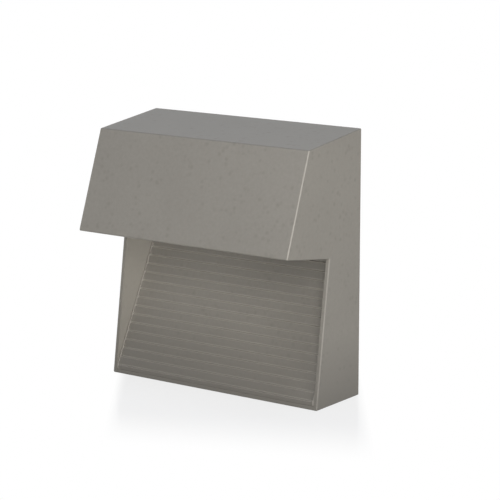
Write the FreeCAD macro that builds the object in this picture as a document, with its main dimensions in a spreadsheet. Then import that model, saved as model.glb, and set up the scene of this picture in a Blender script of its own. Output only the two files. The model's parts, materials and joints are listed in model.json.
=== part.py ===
import FreeCAD, Part
import math
import os

import Sketcher

# A wall-hung step light: a cast housing whose hood throws light down a stepped
# reflector.  X runs to the right, the wall is the plane Y = 0, the front is -Y
# and Z is up.  The origin is the middle of the two wall-fixing holes.
#
# Sketches are drawn in one of three frames:
#   upright   - Z counted from the foot of the light
#   underside - laid on the hood's sloping underside: origin at the lip, Y back
#               towards the wall, Z square to the underside and up into the hood
#   slope     - laid on the seat of the stepped reflector: origin at the floor,
#               Y up the slope, Z square to the slope and out to the front

SIZES = {
    # Outer form of the housing, measured from the wall and from the foot
    "body_width": 110,
    "body_height": 115.6,
    "roof_depth": 38.5,
    "roof_drop": 4.6,
    "hood_depth": 54,
    "hood_height": 47.6,
    "lip_rise": 4.5,
    "notch_depth": 23,
    "base_depth": 32,
    "wall": 1.8,
    "edge_radius": 0.6,
    # Fits
    "seat_gap": 0.15,
    "running_gap": 0.3,
    # Stepped reflector: shallow level treads, risers that lean back from one tread
    # to the next, and a plain rim at each side
    "first_tread_height": 3.71,
    "first_tread_depth": 31.3,
    "last_riser_depth": 4.54,
    "tread_depth": 0.6,
    "rim_width": 0.7,
    "rim_height": 0.2,
    "reflector_drop": 6.465,
    "reflector_base": 1.1,
    "seat_wall": 1.5,
    # Wall plate and what it carries
    "fixing_drop": 25.6,
    "fixing_spacing": 60,
    "fixing_radius": 2.25,
    "gasket_thickness": 0.8,
    "plate_thickness": 1,
    "cable_bore_radius": 3,
    "grommet_neck_radius": 5.5,
    "grommet_flange_radius": 7.5,
    "grommet_length": 4,
    "flange_depth": 15,
    "flange_inset": 6.9,
    "top_tab_length": 11,
    "top_tab_width": 14,
    "tab_inset": 21.9,
    # Screws that hold the housing to the wall plate, driven from below
    "clamp_inset": 17.9,
    "clamp_depth": 8,
    "clamp_radius": 2,
    "clamp_length": 8.6,
    "clamp_head_radius": 3.6,
    "clamp_head_height": 2,
    "washer_radius": 4.5,
    "washer_thickness": 0.5,
    "head_recess": 3,
    "pad_half_width": 8,
    "pad_depth": 16,
    "recess_half_width": 5.6,
    "recess_depth": 13.6,
    "nut_half_width": 3.5,
    "nut_height": 3.2,
    # Light aperture in the hood's underside and the parts that close it
    "aperture_inset": 16.4,
    "aperture_depth": 26,
    "aperture_shift": 3.25,
    "lens_lap": 3,
    "lens_gasket_thickness": 1,
    "lens_thickness": 2,
    "lens_recess": 0.4,
    "frame_thickness": 1.2,
    "frame_inset": 7.4,
    "frame_screw_inset": 3,
    "frame_boss_radius": 2.6,
    # Heat spreader over the aperture and the light engine under it
    "spreader_height": 14,
    "spreader_thickness": 2,
    "spreader_side_gap": 0.8,
    "spreader_front_gap": 1.4,
    "spreader_back_gap": 8.57,
    "spreader_screw_side": 3.4,
    "spreader_screw_inset": 4,
    "spreader_boss_radius": 3,
    "pad_thickness": 0.3,
    "board_thickness": 1.6,
    "board_inset": 8.4,
    "board_half_width": 6,
    "board_screw_inset": 3.5,
    "chip_inset": 7.2,
    "chip_length": 3.5,
    "chip_width": 2.8,
    "chip_height": 0.8,
    # Driver on top of the heat spreader
    "driver_face_gap": 2.8,
    "driver_margin": 0.5,
    "driver_back_gap": 8,
    "driver_height": 20,
    "driver_base_thickness": 1,
    "driver_wall": 1.5,
    "driver_post_height": 2,
    "driver_post_radius": 1.5,
    "driver_post_inset": 4,
    "driver_ear_length": 5,
    "driver_ear_half_width": 4,
    "circuit_thickness": 1.6,
    "circuit_gap": 0.5,
    "transformer_side": 13,
    "transformer_height": 11,
    "capacitor_radius": 4,
    "capacitor_height": 10.5,
    "capacitor_back": 5.5,
    # Terminal block beside the driver
    "terminal_gap": 6,
    "terminal_side_gap": 7.4,
    "terminal_back_gap": 4,
    "terminal_depth": 14,
    "terminal_height": 14,
    "pole_pitch": 9,
    "cage_half_width": 3,
    "cage_inset": 2,
    "cage_floor": 2,
    "cage_height": 8,
    "wire_hole_radius": 1.6,
    "pole_screw_radius": 1.4,
    "pole_screw_length": 6,
    "peg_radius": 1.4,
    "peg_length": 3.2,
    # Leads
    "lead_radius": 0.9,
    "lead_bend": 4,
    "output_bend": 3,
    "lead_tail": 5,
    "neutral_gap": 3,
    "lead_spacing": 5,
    "output_gap": 3.5,
    "output_spacing": 6,
    # Earth connection on the heat spreader
    "earth_gap": 5.5,
    "earth_boss_radius": 4,
    "earth_boss_height": 3,
    "earth_ring_thickness": 1,
    "earth_barrel_length": 5,
    "earth_barrel_wall": 0.6,
    # Small screws, all of one kind
    "small_screw_radius": 1.25,
    "small_head_radius": 2.4,
    "small_head_height": 1.6,
    "small_screw_length": 5,
    "cross_width": 0.8,
    "cross_depth": 0.9,
}
TREADS = 15
CHIPS = 10
POLES = 3

# Values worked out from the sizes
WORKED = {
    "lip_height": "Sizes.body_height - Sizes.hood_height",
    "notch_height": "Worked.lip_height - Sizes.lip_rise",
    "fixing_height": "Sizes.body_height - Sizes.fixing_drop",
    "reflector_top": "Worked.notch_height - Sizes.reflector_drop",
    "tread_rise": "(Worked.reflector_top - Sizes.first_tread_height)"
                  f" / {TREADS}",
    "tread_run": f"(Sizes.first_tread_depth - Sizes.last_riser_depth) / {TREADS}",
    "underside_tilt": "atan(Sizes.lip_rise"
                      " / (Sizes.hood_depth - Sizes.notch_depth))",
    "face_lean": "(Sizes.hood_depth - Sizes.roof_depth)"
                 " / (Sizes.body_height - Sizes.roof_drop - Worked.lip_height)",
    "roof_fall": "Sizes.roof_drop / Sizes.roof_depth",
    "slope_lean": "Worked.tread_run / Worked.tread_rise",
    "underside_fall": "tan(Worked.underside_tilt)",
    "slope_tilt": "atan(Worked.slope_lean)",
    "rim_lift": "Sizes.rim_height / cos(Worked.slope_tilt)",
    # Foot of the reflector's flat back, on the floor
    "seat_foot": "-Sizes.first_tread_depth + Worked.tread_run"
                 " + (Sizes.wall - Sizes.first_tread_height) * Worked.slope_lean"
                 " + Sizes.reflector_base / cos(Worked.slope_tilt)",
    "plate_front": "-Sizes.gasket_thickness - Sizes.plate_thickness",
    # Upright part of the seat, above the last tread
    "seat_top": "-Sizes.last_riser_depth + Sizes.reflector_base",
    "seat_knee": "Sizes.wall + (Worked.seat_top - Worked.seat_foot)"
                 " / Worked.slope_lean",
    "seat_back_top": "Worked.plate_front - 0.7 * Sizes.running_gap",
    "seat_back_foot": "Worked.seat_foot + Sizes.seat_wall / cos(Worked.slope_tilt)",
    "seat_back_knee": "Sizes.wall + (Worked.seat_back_top - Worked.seat_back_foot)"
                      " / Worked.slope_lean",
    # Inner corners of the hood
    "inner_lip": "(Worked.face_lean * Worked.underside_skin + Worked.face_skin)"
                 " / (1 + Worked.face_lean * Worked.underside_fall)",
    "face_skin": "Sizes.wall * sqrt(1 + Worked.face_lean ^ 2)",
    "roof_skin": "Sizes.wall * sqrt(1 + Worked.roof_fall ^ 2)",
    "underside_skin": "Sizes.wall * sqrt(1 + Worked.underside_fall ^ 2)",
    "inner_crown": "(Sizes.body_height - Worked.roof_skin + Worked.roof_fall"
                   " * (Worked.face_skin - Sizes.hood_depth"
                   " - Worked.face_lean * Worked.lip_height))"
                   " / (1 - Worked.roof_fall * Worked.face_lean)",
    "seat_length": "(Worked.seat_knee - Sizes.wall) / cos(Worked.slope_tilt)",
    # Room in the hood, laid on the underside: how far back the hood's face is
    # for each step up, and where the parts inside stand
    "face_retreat": "(Worked.face_lean * cos(Worked.underside_tilt)"
                    " - sin(Worked.underside_tilt))"
                    " / (cos(Worked.underside_tilt)"
                    " + Worked.face_lean * sin(Worked.underside_tilt))",
    "face_start": "Worked.face_skin / (cos(Worked.underside_tilt)"
                  " + Worked.face_lean * sin(Worked.underside_tilt))",
    "spreader_half_width": "Sizes.body_width / 2 - Sizes.wall"
                           " - Sizes.spreader_side_gap",
    "spreader_front": "Worked.face_start + Worked.face_retreat * Worked.spreader_top"
                      " + Sizes.spreader_front_gap",
    "spreader_back": "Sizes.hood_depth / cos(Worked.underside_tilt)"
                     " - Sizes.spreader_back_gap",
    "spreader_screw_x": "Worked.spreader_half_width - Sizes.spreader_screw_side",
    "spreader_screw_front": "Worked.spreader_front + Sizes.spreader_screw_inset",
    "spreader_screw_back": "Worked.spreader_back - Sizes.spreader_screw_inset",
    "aperture_half_width": "Worked.spreader_half_width - Sizes.aperture_inset",
    "frame_half_width": "Worked.spreader_half_width - Sizes.frame_inset",
    "frame_screw_x": "Worked.frame_half_width - Sizes.frame_screw_inset",
    "aperture_middle": "(Worked.spreader_front + Worked.spreader_back) / 2"
                       " - Sizes.aperture_shift",
    "aperture_front": "Worked.aperture_middle - Sizes.aperture_depth / 2",
    "aperture_back": "Worked.aperture_middle + Sizes.aperture_depth / 2",
    "frame_screw_front": "Worked.aperture_front + Sizes.frame_screw_inset",
    "frame_screw_back": "Worked.aperture_back - Sizes.frame_screw_inset",
    "board_half_length": "Worked.spreader_half_width - Sizes.board_inset",
    "board_screw_x": "Worked.board_half_length - Sizes.board_screw_inset",
    "chip_pitch": "2 * (Worked.aperture_half_width - Sizes.chip_inset)"
                  f" / {CHIPS - 1}",
    "terminal_right": "Worked.spreader_half_width - Sizes.terminal_side_gap",
    "terminal_left": f"Worked.terminal_right - {POLES} * Sizes.pole_pitch",
    "terminal_back": "Worked.spreader_back - Sizes.terminal_back_gap",
    "terminal_front": "Worked.terminal_back - Sizes.terminal_depth",
    "terminal_middle": "(Worked.terminal_front + Worked.terminal_back) / 2",
    "output_left": "-Worked.board_screw_x + Sizes.spreader_screw_inset",
    "driver_left": "Worked.output_left + Sizes.output_gap",
    "driver_right": "Worked.terminal_left - Sizes.terminal_gap",
    "driver_front": "max(Worked.face_start + Worked.face_retreat"
                    " * (Worked.spreader_top + Sizes.driver_height)"
                    " + Sizes.driver_face_gap; Worked.spreader_front"
                    " + Sizes.driver_ear_length + Sizes.driver_margin)",
    "driver_back": "Worked.spreader_back - Sizes.driver_back_gap",
    "neutral_front": "Worked.terminal_front - Sizes.neutral_gap",
    "live_front": "Worked.neutral_front - Sizes.lead_spacing",
    "output_first": "Worked.aperture_middle - Sizes.output_spacing / 2",
    "output_second": "Worked.aperture_middle + Sizes.output_spacing / 2",
    "earth_front": "Worked.spreader_front + Sizes.earth_gap",
    # Levels above the underside
    "lens_seat": "Sizes.wall + Sizes.lens_gasket_thickness",
    "frame_seat": "Worked.lens_seat + Sizes.lens_thickness",
    "spreader_top": "Sizes.spreader_height + Sizes.spreader_thickness",
    "board_top": "Sizes.spreader_height - Sizes.pad_thickness",
    "board_bottom": "Worked.board_top - Sizes.board_thickness",
    "circuit_bottom": "Worked.spreader_top + Sizes.driver_base_thickness"
                      " + Sizes.driver_post_height",
    "circuit_top": "Worked.circuit_bottom + Sizes.circuit_thickness",
    "wire_height": "Worked.circuit_top + Sizes.lead_radius",
    "driver_middle": "(Worked.driver_left + Worked.driver_right) / 2",
    # Wall plate and clamp screws
    "plate_half_width": "Sizes.body_width / 2 - Sizes.wall - Sizes.running_gap",
    "clamp_x": "Worked.plate_half_width - Sizes.clamp_inset",
    "tab_x": "Worked.plate_half_width - Sizes.tab_inset",
    "web_top": "Sizes.head_recess + Sizes.wall",
    "flange_half_width": "Worked.plate_half_width - Sizes.flange_inset",
    "flange_bottom": "Worked.web_top + Sizes.seat_gap",
    "flange_top": "Worked.flange_bottom + Sizes.plate_thickness",
    "plate_top": "Sizes.body_height - Worked.roof_skin - Sizes.running_gap"
                 " + Worked.roof_fall * Worked.plate_front",
    "tab_top": "Sizes.body_height - Worked.roof_skin - Sizes.running_gap"
               " - Worked.roof_fall"
               " * (Sizes.top_tab_length - Worked.plate_front)",
    "washer_bottom": "Sizes.head_recess - Sizes.washer_thickness",
    "clamp_hole_radius": "Sizes.clamp_radius + Sizes.running_gap",
}
DEGREES = ("underside_tilt", "slope_tilt")

document = FreeCAD.newDocument("step_light")
sheet = document.addObject("Spreadsheet::Sheet", "Sizes")
for row, (alias, value) in enumerate(SIZES.items(), 1):
    sheet.set(f"A{row}", alias)
    sheet.set(f"B{row}", str(value))
    sheet.setAlias(f"B{row}", alias)
document.recompute()

worked = document.addObject("App::VarSet", "Worked")
for name in WORKED:
    kind = "App::PropertyAngle" if name in DEGREES else "App::PropertyFloat"
    worked.addProperty(kind, name)
for name, formula in WORKED.items():
    worked.setExpression(name, formula)
document.recompute()

bodies = []


def new_body(name, frame="upright"):
    """A body whose label is its node's name, set into one of the three frames."""
    body = document.addObject("PartDesign::Body", name)
    body.Label = name
    foot = "-Worked.fixing_height"
    if frame == "upright":
        body.setExpression("Placement.Base.z", foot)
    elif frame == "underside":
        body.setExpression(
            "Placement",
            f"placement(vector(0; -Sizes.hood_depth; Worked.lip_height {foot});"
            " rotation(vector(-1; 0; 0); Worked.underside_tilt))",
        )
    else:
        body.setExpression(
            "Placement",
            f"placement(vector(0; Worked.seat_foot; Sizes.wall {foot});"
            " rotation(vector(1; 0; 0); 90 deg - Worked.slope_tilt))",
        )
    bodies.append(body)
    return body


def origin_plane(body, role):
    return next(f for f in body.Origin.OriginFeatures if f.Role == role)


def laid_plane(body, frame):
    """A datum plane in an upright body, laid in the underside or slope frame."""
    plane = body.newObject("PartDesign::Plane", frame + "_plane")
    plane.AttachmentSupport = [(origin_plane(body, "XY_Plane"), "")]
    plane.MapMode = "FlatFace"
    if frame == "underside":
        place = (
            "placement(vector(0; -Sizes.hood_depth; Worked.lip_height);"
            " rotation(vector(-1; 0; 0); Worked.underside_tilt))"
        )
    else:
        place = (
            "placement(vector(0; Worked.seat_foot; Sizes.wall);"
            " rotation(vector(1; 0; 0); 90 deg - Worked.slope_tilt))"
        )
    plane.setExpression("AttachmentOffset", place)
    return plane


def new_sketch(body, name, plane="XY_Plane", lift=None):
    """An empty sketch on one of the body's planes, raised by lift along its normal."""
    sketch = body.newObject("Sketcher::SketchObject", f"{body.Name}_{name}")
    support = origin_plane(body, plane) if isinstance(plane, str) else plane
    sketch.AttachmentSupport = [(support, "")]
    sketch.MapMode = "FlatFace"
    if lift is not None:
        sketch.setExpression("AttachmentOffset.Base.z", lift)
    return sketch


def pin(sketch, geometry, point, x, y):
    """Hold one point of a sketch at the given distances from the sketch's origin."""
    for kind, formula in (("DistanceX", x), ("DistanceY", y)):
        index = sketch.addConstraint(Sketcher.Constraint(kind, -1, 1, geometry, point, 1.0))
        sketch.setExpression(f"Constraints[{index}]", formula)


def polygon(sketch, points):
    """A closed outline through points given as pairs of formulas."""
    count = len(points)
    first = len(sketch.Geometry)
    corners = [
        FreeCAD.Vector(math.cos(2 * math.pi * i / count), math.sin(2 * math.pi * i / count), 0)
        for i in range(count)
    ]
    for i in range(count):
        sketch.addGeometry(Part.LineSegment(corners[i], corners[(i + 1) % count]))
    for i in range(count):
        follower = first + (i + 1) % count
        sketch.addConstraint(Sketcher.Constraint("Coincident", first + i, 2, follower, 1))
    for i, (x, y) in enumerate(points):
        pin(sketch, first + i, 1, x, y)


def rectangle(sketch, left, right, low, high):
    polygon(sketch, [(left, low), (right, low), (right, high), (left, high)])


def circle(sketch, x, y, radius):
    index = sketch.addGeometry(Part.Circle(FreeCAD.Vector(0, 0, 0), FreeCAD.Vector(0, 0, 1), 1))
    pin(sketch, index, 3, x, y)
    held = sketch.addConstraint(Sketcher.Constraint("Radius", index, 1.0))
    sketch.setExpression(f"Constraints[{held}]", radius)


def extrude(kind, body, sketch, length, both=False, backward=False):
    feature = body.newObject(kind, sketch.Name + "_" + kind.split("::")[1].lower())
    feature.Profile = sketch
    feature.Midplane = both
    feature.Reversed = backward
    feature.setExpression("Length", length)
    body.Tip = feature
    document.recompute()
    return feature


def pad(body, sketch, length, both=False, backward=False):
    return extrude("PartDesign::Pad", body, sketch, length, both, backward)


def pocket(body, sketch, length, both=False, backward=False):
    """Cut, and stop if the cut missed the body."""
    before = body.Shape.Volume
    feature = extrude("PartDesign::Pocket", body, sketch, length, both, backward)
    if body.Shape.Volume >= before:
        raise ValueError(f"{feature.Name} cuts nothing")
    return feature


def block(body, name, left, right, front, back, bottom, height):
    """A rectangular block standing on the level bottom."""
    sketch = new_sketch(body, name, lift=bottom)
    rectangle(sketch, left, right, front, back)
    return pad(body, sketch, height)


def cut_block(body, name, left, right, front, back, bottom, height):
    """A rectangular hole from the level bottom upwards."""
    sketch = new_sketch(body, name, lift=bottom)
    rectangle(sketch, left, right, front, back)
    return pocket(body, sketch, height, backward=True)


def drums(body, name, centres, radius, bottom, height, plane="XY_Plane"):
    """Round pads of one size standing on the level bottom."""
    sketch = new_sketch(body, name, plane, bottom)
    for x, y in centres:
        circle(sketch, x, y, radius)
    return pad(body, sketch, height)


def bores(body, name, centres, radius, bottom, height, plane="XY_Plane"):
    """Round holes of one size from the level bottom upwards."""
    sketch = new_sketch(body, name, plane, bottom)
    for x, y in centres:
        circle(sketch, x, y, radius)
    return pocket(body, sketch, height, backward=True)


def mirrored(x, *ys):
    """Places at plus and minus x for each of the ys."""
    return [(f"{side}({x})", y) for y in ys for side in ("", "-")]


def crosses(body, name, centres, radius, bottom, height):
    """Cross recesses for a screwdriver, from the level bottom upwards."""
    reach = f"0.7 * {radius}"
    half = "Sizes.cross_width / 2"
    for label, across, along in (("cross", reach, half), ("bar", half, reach)):
        sketch = new_sketch(body, name + "_" + label, lift=bottom)
        for x, y in centres:
            rectangle(sketch, f"{x} - {across}", f"{x} + {across}",
                      f"{y} - {along}", f"{y} + {along}")
        pocket(body, sketch, height, backward=True)


def small_screws(name, centres, seat, frame="underside", upside_down=False):
    """A set of pan-head screws with their heads on the level seat."""
    body = new_body(name, frame)
    if upside_down:
        head = f"{seat} - Sizes.small_head_height"
        shank = seat
        cross = head
    else:
        head = seat
        shank = f"{seat} - Sizes.small_screw_length"
        cross = f"{seat} + Sizes.small_head_height - Sizes.cross_depth"
    drums(body, "head", centres, "Sizes.small_head_radius", head, "Sizes.small_head_height")
    drums(body, "shank", centres, "Sizes.small_screw_radius", shank, "Sizes.small_screw_length")
    crosses(body, "recess", centres, "Sizes.small_head_radius", cross, "Sizes.cross_depth")
    return body


def on_underside(back, up):
    """A point of the underside frame as distances from the wall and from the foot."""
    tilt = "Worked.underside_tilt"
    return (
        f"-Sizes.hood_depth + ({back}) * cos({tilt}) + ({up}) * sin({tilt})",
        f"Worked.lip_height - ({back}) * sin({tilt}) + ({up}) * cos({tilt})",
    )


def underside_level(depth):
    """Height of the underside, or of its run-on, at a distance from the wall."""
    return f"Worked.notch_height + (Sizes.notch_depth + {depth}) * -Worked.underside_fall"


SCREW_FIT = "Sizes.small_screw_radius + Sizes.seat_gap"
SCREW_BITE = "Sizes.small_screw_radius + 0.05"
CLAMPS = mirrored("Worked.clamp_x", "-Sizes.clamp_depth")
FIXINGS = mirrored("Sizes.fixing_spacing / 2", "Worked.fixing_height")
FRAME_SCREWS = mirrored(
    "Worked.frame_screw_x", "Worked.frame_screw_front", "Worked.frame_screw_back"
)
SPREADER_SCREWS = mirrored(
    "Worked.spreader_screw_x", "Worked.spreader_screw_front", "Worked.spreader_screw_back"
)
BOARD_SCREWS = mirrored("Worked.board_screw_x", "Worked.aperture_middle")
DRIVER_SCREWS = [
    ("Worked.driver_middle", "Worked.driver_front - Sizes.driver_ear_length / 2"),
    ("Worked.driver_middle", "Worked.driver_back + Sizes.driver_ear_length / 2"),
]
REFLECTOR_SCREWS = mirrored(
    "Worked.board_screw_x", "0.16 * Worked.seat_length", "0.7 * Worked.seat_length"
)
OUTPUT_HOLES = [
    ("Worked.output_left", "Worked.output_first"),
    ("Worked.output_left", "Worked.output_second"),
]
POLE_X = [f"Worked.terminal_left + {i + 0.5} * Sizes.pole_pitch" for i in range(POLES)]
EARTH = (POLE_X[-1], "Worked.earth_front")
PEGS = [(f"Worked.terminal_left + {i + 1} * Sizes.pole_pitch", "Worked.terminal_middle")
        for i in range(POLES - 1)]
CAVITY_WIDTH = "Sizes.body_width - 2 * Sizes.wall"


def make_housing():
    body = new_body("housing")
    outline = new_sketch(body, "outline", "YZ_Plane")
    polygon(outline, [
        ("0", "0"),
        ("0", "Sizes.body_height"),
        ("-Sizes.roof_depth", "Sizes.body_height - Sizes.roof_drop"),
        ("-Sizes.hood_depth", "Worked.lip_height"),
        ("-Sizes.notch_depth", "Worked.notch_height"),
        ("-Sizes.base_depth", "0"),
    ])
    outer = pad(body, outline, "Sizes.body_width", both=True)

    # Round every outer edge but those against the wall and the one in the notch
    rounded = []
    for number, edge in enumerate(outer.Shape.Edges, 1):
        ends = [vertex.Point for vertex in edge.Vertexes]
        at_wall = all(abs(end.y) < 0.01 for end in ends)
        in_notch = all(abs(end.y + SIZES["notch_depth"]) < 0.01 for end in ends)
        if not at_wall and not in_notch:
            rounded.append(f"Edge{number}")
    fillet = body.newObject("PartDesign::Fillet", "housing_edges")
    fillet.Base = (outer, rounded)
    fillet.setExpression("Radius", "Sizes.edge_radius")
    body.Tip = fillet
    document.recompute()

    # Recess between the cheeks, in front of the reflector's seat
    recess = new_sketch(body, "recess", "YZ_Plane")
    beyond = "-Sizes.hood_depth"
    polygon(recess, [
        (beyond, "Sizes.wall"),
        ("Worked.seat_foot", "Sizes.wall"),
        ("Worked.seat_top", "Worked.seat_knee"),
        ("Worked.seat_top", underside_level("Worked.seat_top")),
        ("-Sizes.notch_depth", "Worked.notch_height"),
        (beyond, "Worked.notch_height"),
    ])
    pocket(body, recess, CAVITY_WIDTH, both=True)

    # Hollow behind the seat and in the hood, open to the wall
    hollow = new_sketch(body, "hollow", "YZ_Plane")
    beyond = "Sizes.wall"
    inner_lip = "-Sizes.hood_depth + Worked.inner_lip"
    polygon(hollow, [
        (beyond, "Sizes.wall"),
        (beyond, f"Sizes.body_height - Worked.roof_skin + Worked.roof_fall * {beyond}"),
        ("-Sizes.hood_depth + Worked.face_skin"
         " + Worked.face_lean * (Worked.inner_crown - Worked.lip_height)",
         "Worked.inner_crown"),
        (inner_lip, "Worked.lip_height + Worked.underside_skin"
                    " - Worked.inner_lip * Worked.underside_fall"),
        ("Worked.seat_back_top",
         underside_level("Worked.seat_back_top") + " + Worked.underside_skin"),
        ("Worked.seat_back_top", "Worked.seat_back_knee"),
        ("Worked.seat_back_foot", "Sizes.wall"),
    ])
    pocket(body, hollow, CAVITY_WIDTH, both=True)

    # Thick pads in the floor, each with a recess and an open slot for a clamp screw
    for side, name in (("-", "left"), ("", "right")):
        x = f"{side}Worked.clamp_x"
        block(body, name + "_pad", f"{x} - Sizes.pad_half_width", f"{x} + Sizes.pad_half_width",
              "-Sizes.pad_depth", "0", "0", "Worked.web_top")
        cut_block(body, name + "_recess", f"{x} - Sizes.recess_half_width",
                  f"{x} + Sizes.recess_half_width", "-Sizes.recess_depth", "Sizes.wall",
                  "0", "Sizes.head_recess")
        cut_block(body, name + "_slot", f"{x} - Worked.clamp_hole_radius",
                  f"{x} + Worked.clamp_hole_radius", "-Sizes.clamp_depth", "Sizes.wall",
                  "0", "Worked.web_top")
        bores(body, name + "_slot_end", [(x, "-Sizes.clamp_depth")],
              "Worked.clamp_hole_radius", "0", "Worked.web_top")

    # Light aperture, and bosses for the lens frame and the heat spreader
    aperture = new_sketch(body, "aperture", "YZ_Plane")
    polygon(aperture, [
        on_underside("Worked.aperture_front", "-Sizes.wall"),
        on_underside("Worked.aperture_back", "-Sizes.wall"),
        on_underside("Worked.aperture_back", "2 * Sizes.wall"),
        on_underside("Worked.aperture_front", "2 * Sizes.wall"),
    ])
    pocket(body, aperture, "2 * Worked.aperture_half_width", both=True)
    plane = laid_plane(body, "underside")
    inside = "Sizes.wall / 2"
    drums(body, "frame_bosses", FRAME_SCREWS, "Sizes.frame_boss_radius", inside,
          f"Worked.frame_seat - {inside}", plane)
    bores(body, "frame_bores", FRAME_SCREWS, SCREW_BITE,
          "Worked.frame_seat - Sizes.small_screw_length + Sizes.frame_thickness",
          "Sizes.small_screw_length", plane)
    drums(body, "spreader_bosses", SPREADER_SCREWS, "Sizes.spreader_boss_radius", inside,
          f"Sizes.spreader_height - {inside}", plane)
    bores(body, "spreader_bores", SPREADER_SCREWS, SCREW_BITE,
          "Worked.spreader_top - Sizes.small_screw_length",
          "Sizes.small_screw_length", plane)

    # Holes in the seat for the reflector's bosses
    slope = laid_plane(body, "slope")
    bores(body, "reflector_holes", REFLECTOR_SCREWS,
          "Sizes.frame_boss_radius + Sizes.seat_gap", "-Sizes.seat_wall - 0.5",
          "Sizes.seat_wall + 1", slope)


def make_reflector():
    body = new_body("ribbed_reflector")
    profile = new_sketch(body, "profile", "YZ_Plane")
    rim_foot = "-Sizes.first_tread_depth - Worked.rim_lift"
    polygon(profile, [
        ("Worked.seat_foot", "Sizes.wall"),
        ("Worked.seat_top", "Worked.seat_knee"),
        ("Worked.seat_top", "Worked.reflector_top"),
        ("-Sizes.last_riser_depth - Worked.rim_lift", "Worked.reflector_top"),
        (rim_foot, "Sizes.first_tread_height"),
        (rim_foot, "Sizes.wall"),
    ])
    width = f"{CAVITY_WIDTH} - 2 * Sizes.seat_gap"
    pad(body, profile, width, both=True)

    # Everything in front of the steps, between the rims
    steps = new_sketch(body, "steps", "YZ_Plane")
    beyond = "-Sizes.hood_depth"
    points = [
        (beyond, "0"),
        (beyond, "Worked.reflector_top + 1"),
        ("-Sizes.last_riser_depth", "Worked.reflector_top + 1"),
        ("-Sizes.last_riser_depth", "Worked.reflector_top"),
    ]
    for tread in range(TREADS - 1, -1, -1):
        nose = f"-Sizes.first_tread_depth + {tread} * Worked.tread_run"
        level = f"Sizes.first_tread_height + {tread} * Worked.tread_rise"
        points.append((f"{nose} + Sizes.tread_depth", level))
        points.append((nose, level))
    points.append(("-Sizes.first_tread_depth", "0"))
    polygon(steps, points)
    pocket(body, steps, f"{width} - 2 * Sizes.rim_width", both=True)
    plane = laid_plane(body, "slope")
    drums(body, "bosses", REFLECTOR_SCREWS, "Sizes.frame_boss_radius",
          "-Sizes.seat_wall + 0.1", "Sizes.seat_wall", plane)
    bores(body, "bores", REFLECTOR_SCREWS, SCREW_BITE,
          "-Sizes.seat_wall", "Sizes.seat_wall + Sizes.reflector_base * 0.6", plane)


def make_reflector_screws():
    """Screws from behind the seat, short enough to end inside the reflector."""
    body = new_body("reflector_screws", "slope")
    seat = "-Sizes.seat_wall"
    drums(body, "head", REFLECTOR_SCREWS, "1.4 * Sizes.small_head_radius",
          f"{seat} - Sizes.small_head_height", "Sizes.small_head_height")
    drums(body, "shank", REFLECTOR_SCREWS, "Sizes.small_screw_radius",
          f"{seat} - 0.1", "Sizes.seat_wall + Sizes.reflector_base * 0.5 + 0.1")
    crosses(body, "recess", REFLECTOR_SCREWS, "Sizes.small_head_radius",
            f"{seat} - Sizes.small_head_height", "Sizes.cross_depth")


def make_wall_plate():
    body = new_body("backplate")
    plate = new_sketch(body, "plate", "XZ_Plane", "Sizes.gasket_thickness")
    rectangle(plate, "-Worked.plate_half_width", "Worked.plate_half_width",
              "Worked.flange_bottom", "Worked.plate_top")
    for x, z in FIXINGS:
        circle(plate, x, z, "Sizes.fixing_radius")
    circle(plate, "0", "Worked.fixing_height", "Sizes.grommet_neck_radius")
    pad(body, plate, "Sizes.plate_thickness")
    front = "Worked.plate_front - Sizes.flange_depth + Sizes.plate_thickness"
    block(body, "flange", "-Worked.flange_half_width", "Worked.flange_half_width",
          front, "-Sizes.gasket_thickness", "Worked.flange_bottom", "Sizes.plate_thickness")
    bores(body, "clamp_holes", CLAMPS, "Worked.clamp_hole_radius",
          "Worked.flange_bottom", "Sizes.plate_thickness")
    for side, name in (("-", "left"), ("", "right")):
        x = f"{side}Worked.tab_x"
        block(body, name + "_tab", f"{x} - Sizes.top_tab_width / 2",
              f"{x} + Sizes.top_tab_width / 2",
              "Worked.plate_front - Sizes.top_tab_length", "-Sizes.gasket_thickness",
              "Worked.tab_top - Sizes.plate_thickness", "Sizes.plate_thickness")

    gasket = new_body("wall_gasket")
    sheet_sketch = new_sketch(gasket, "outline", "XZ_Plane")
    rectangle(sheet_sketch, "-Worked.plate_half_width", "Worked.plate_half_width",
              "Worked.flange_bottom", "Worked.plate_top")
    for x, z in FIXINGS:
        circle(sheet_sketch, x, z, "Sizes.fixing_radius")
    circle(sheet_sketch, "0", "Worked.fixing_height",
           "Sizes.grommet_flange_radius + Sizes.seat_gap")
    pad(gasket, sheet_sketch, "Sizes.gasket_thickness")

    grommet = new_body("cable_grommet")
    lips = [
        ("rear_lip", "0", "Sizes.grommet_flange_radius", "Sizes.gasket_thickness"),
        ("neck", "Sizes.gasket_thickness", "Sizes.grommet_neck_radius - 0.05",
         "Sizes.plate_thickness"),
        ("front_lip", "-Worked.plate_front", "Sizes.grommet_flange_radius",
         "Sizes.grommet_length + Worked.plate_front"),
    ]
    for name, start, radius, length in lips:
        ring = new_sketch(grommet, name, "XZ_Plane", start)
        circle(ring, "0", "Worked.fixing_height", radius)
        circle(ring, "0", "Worked.fixing_height", "Sizes.cable_bore_radius")
        pad(grommet, ring, length)


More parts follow.
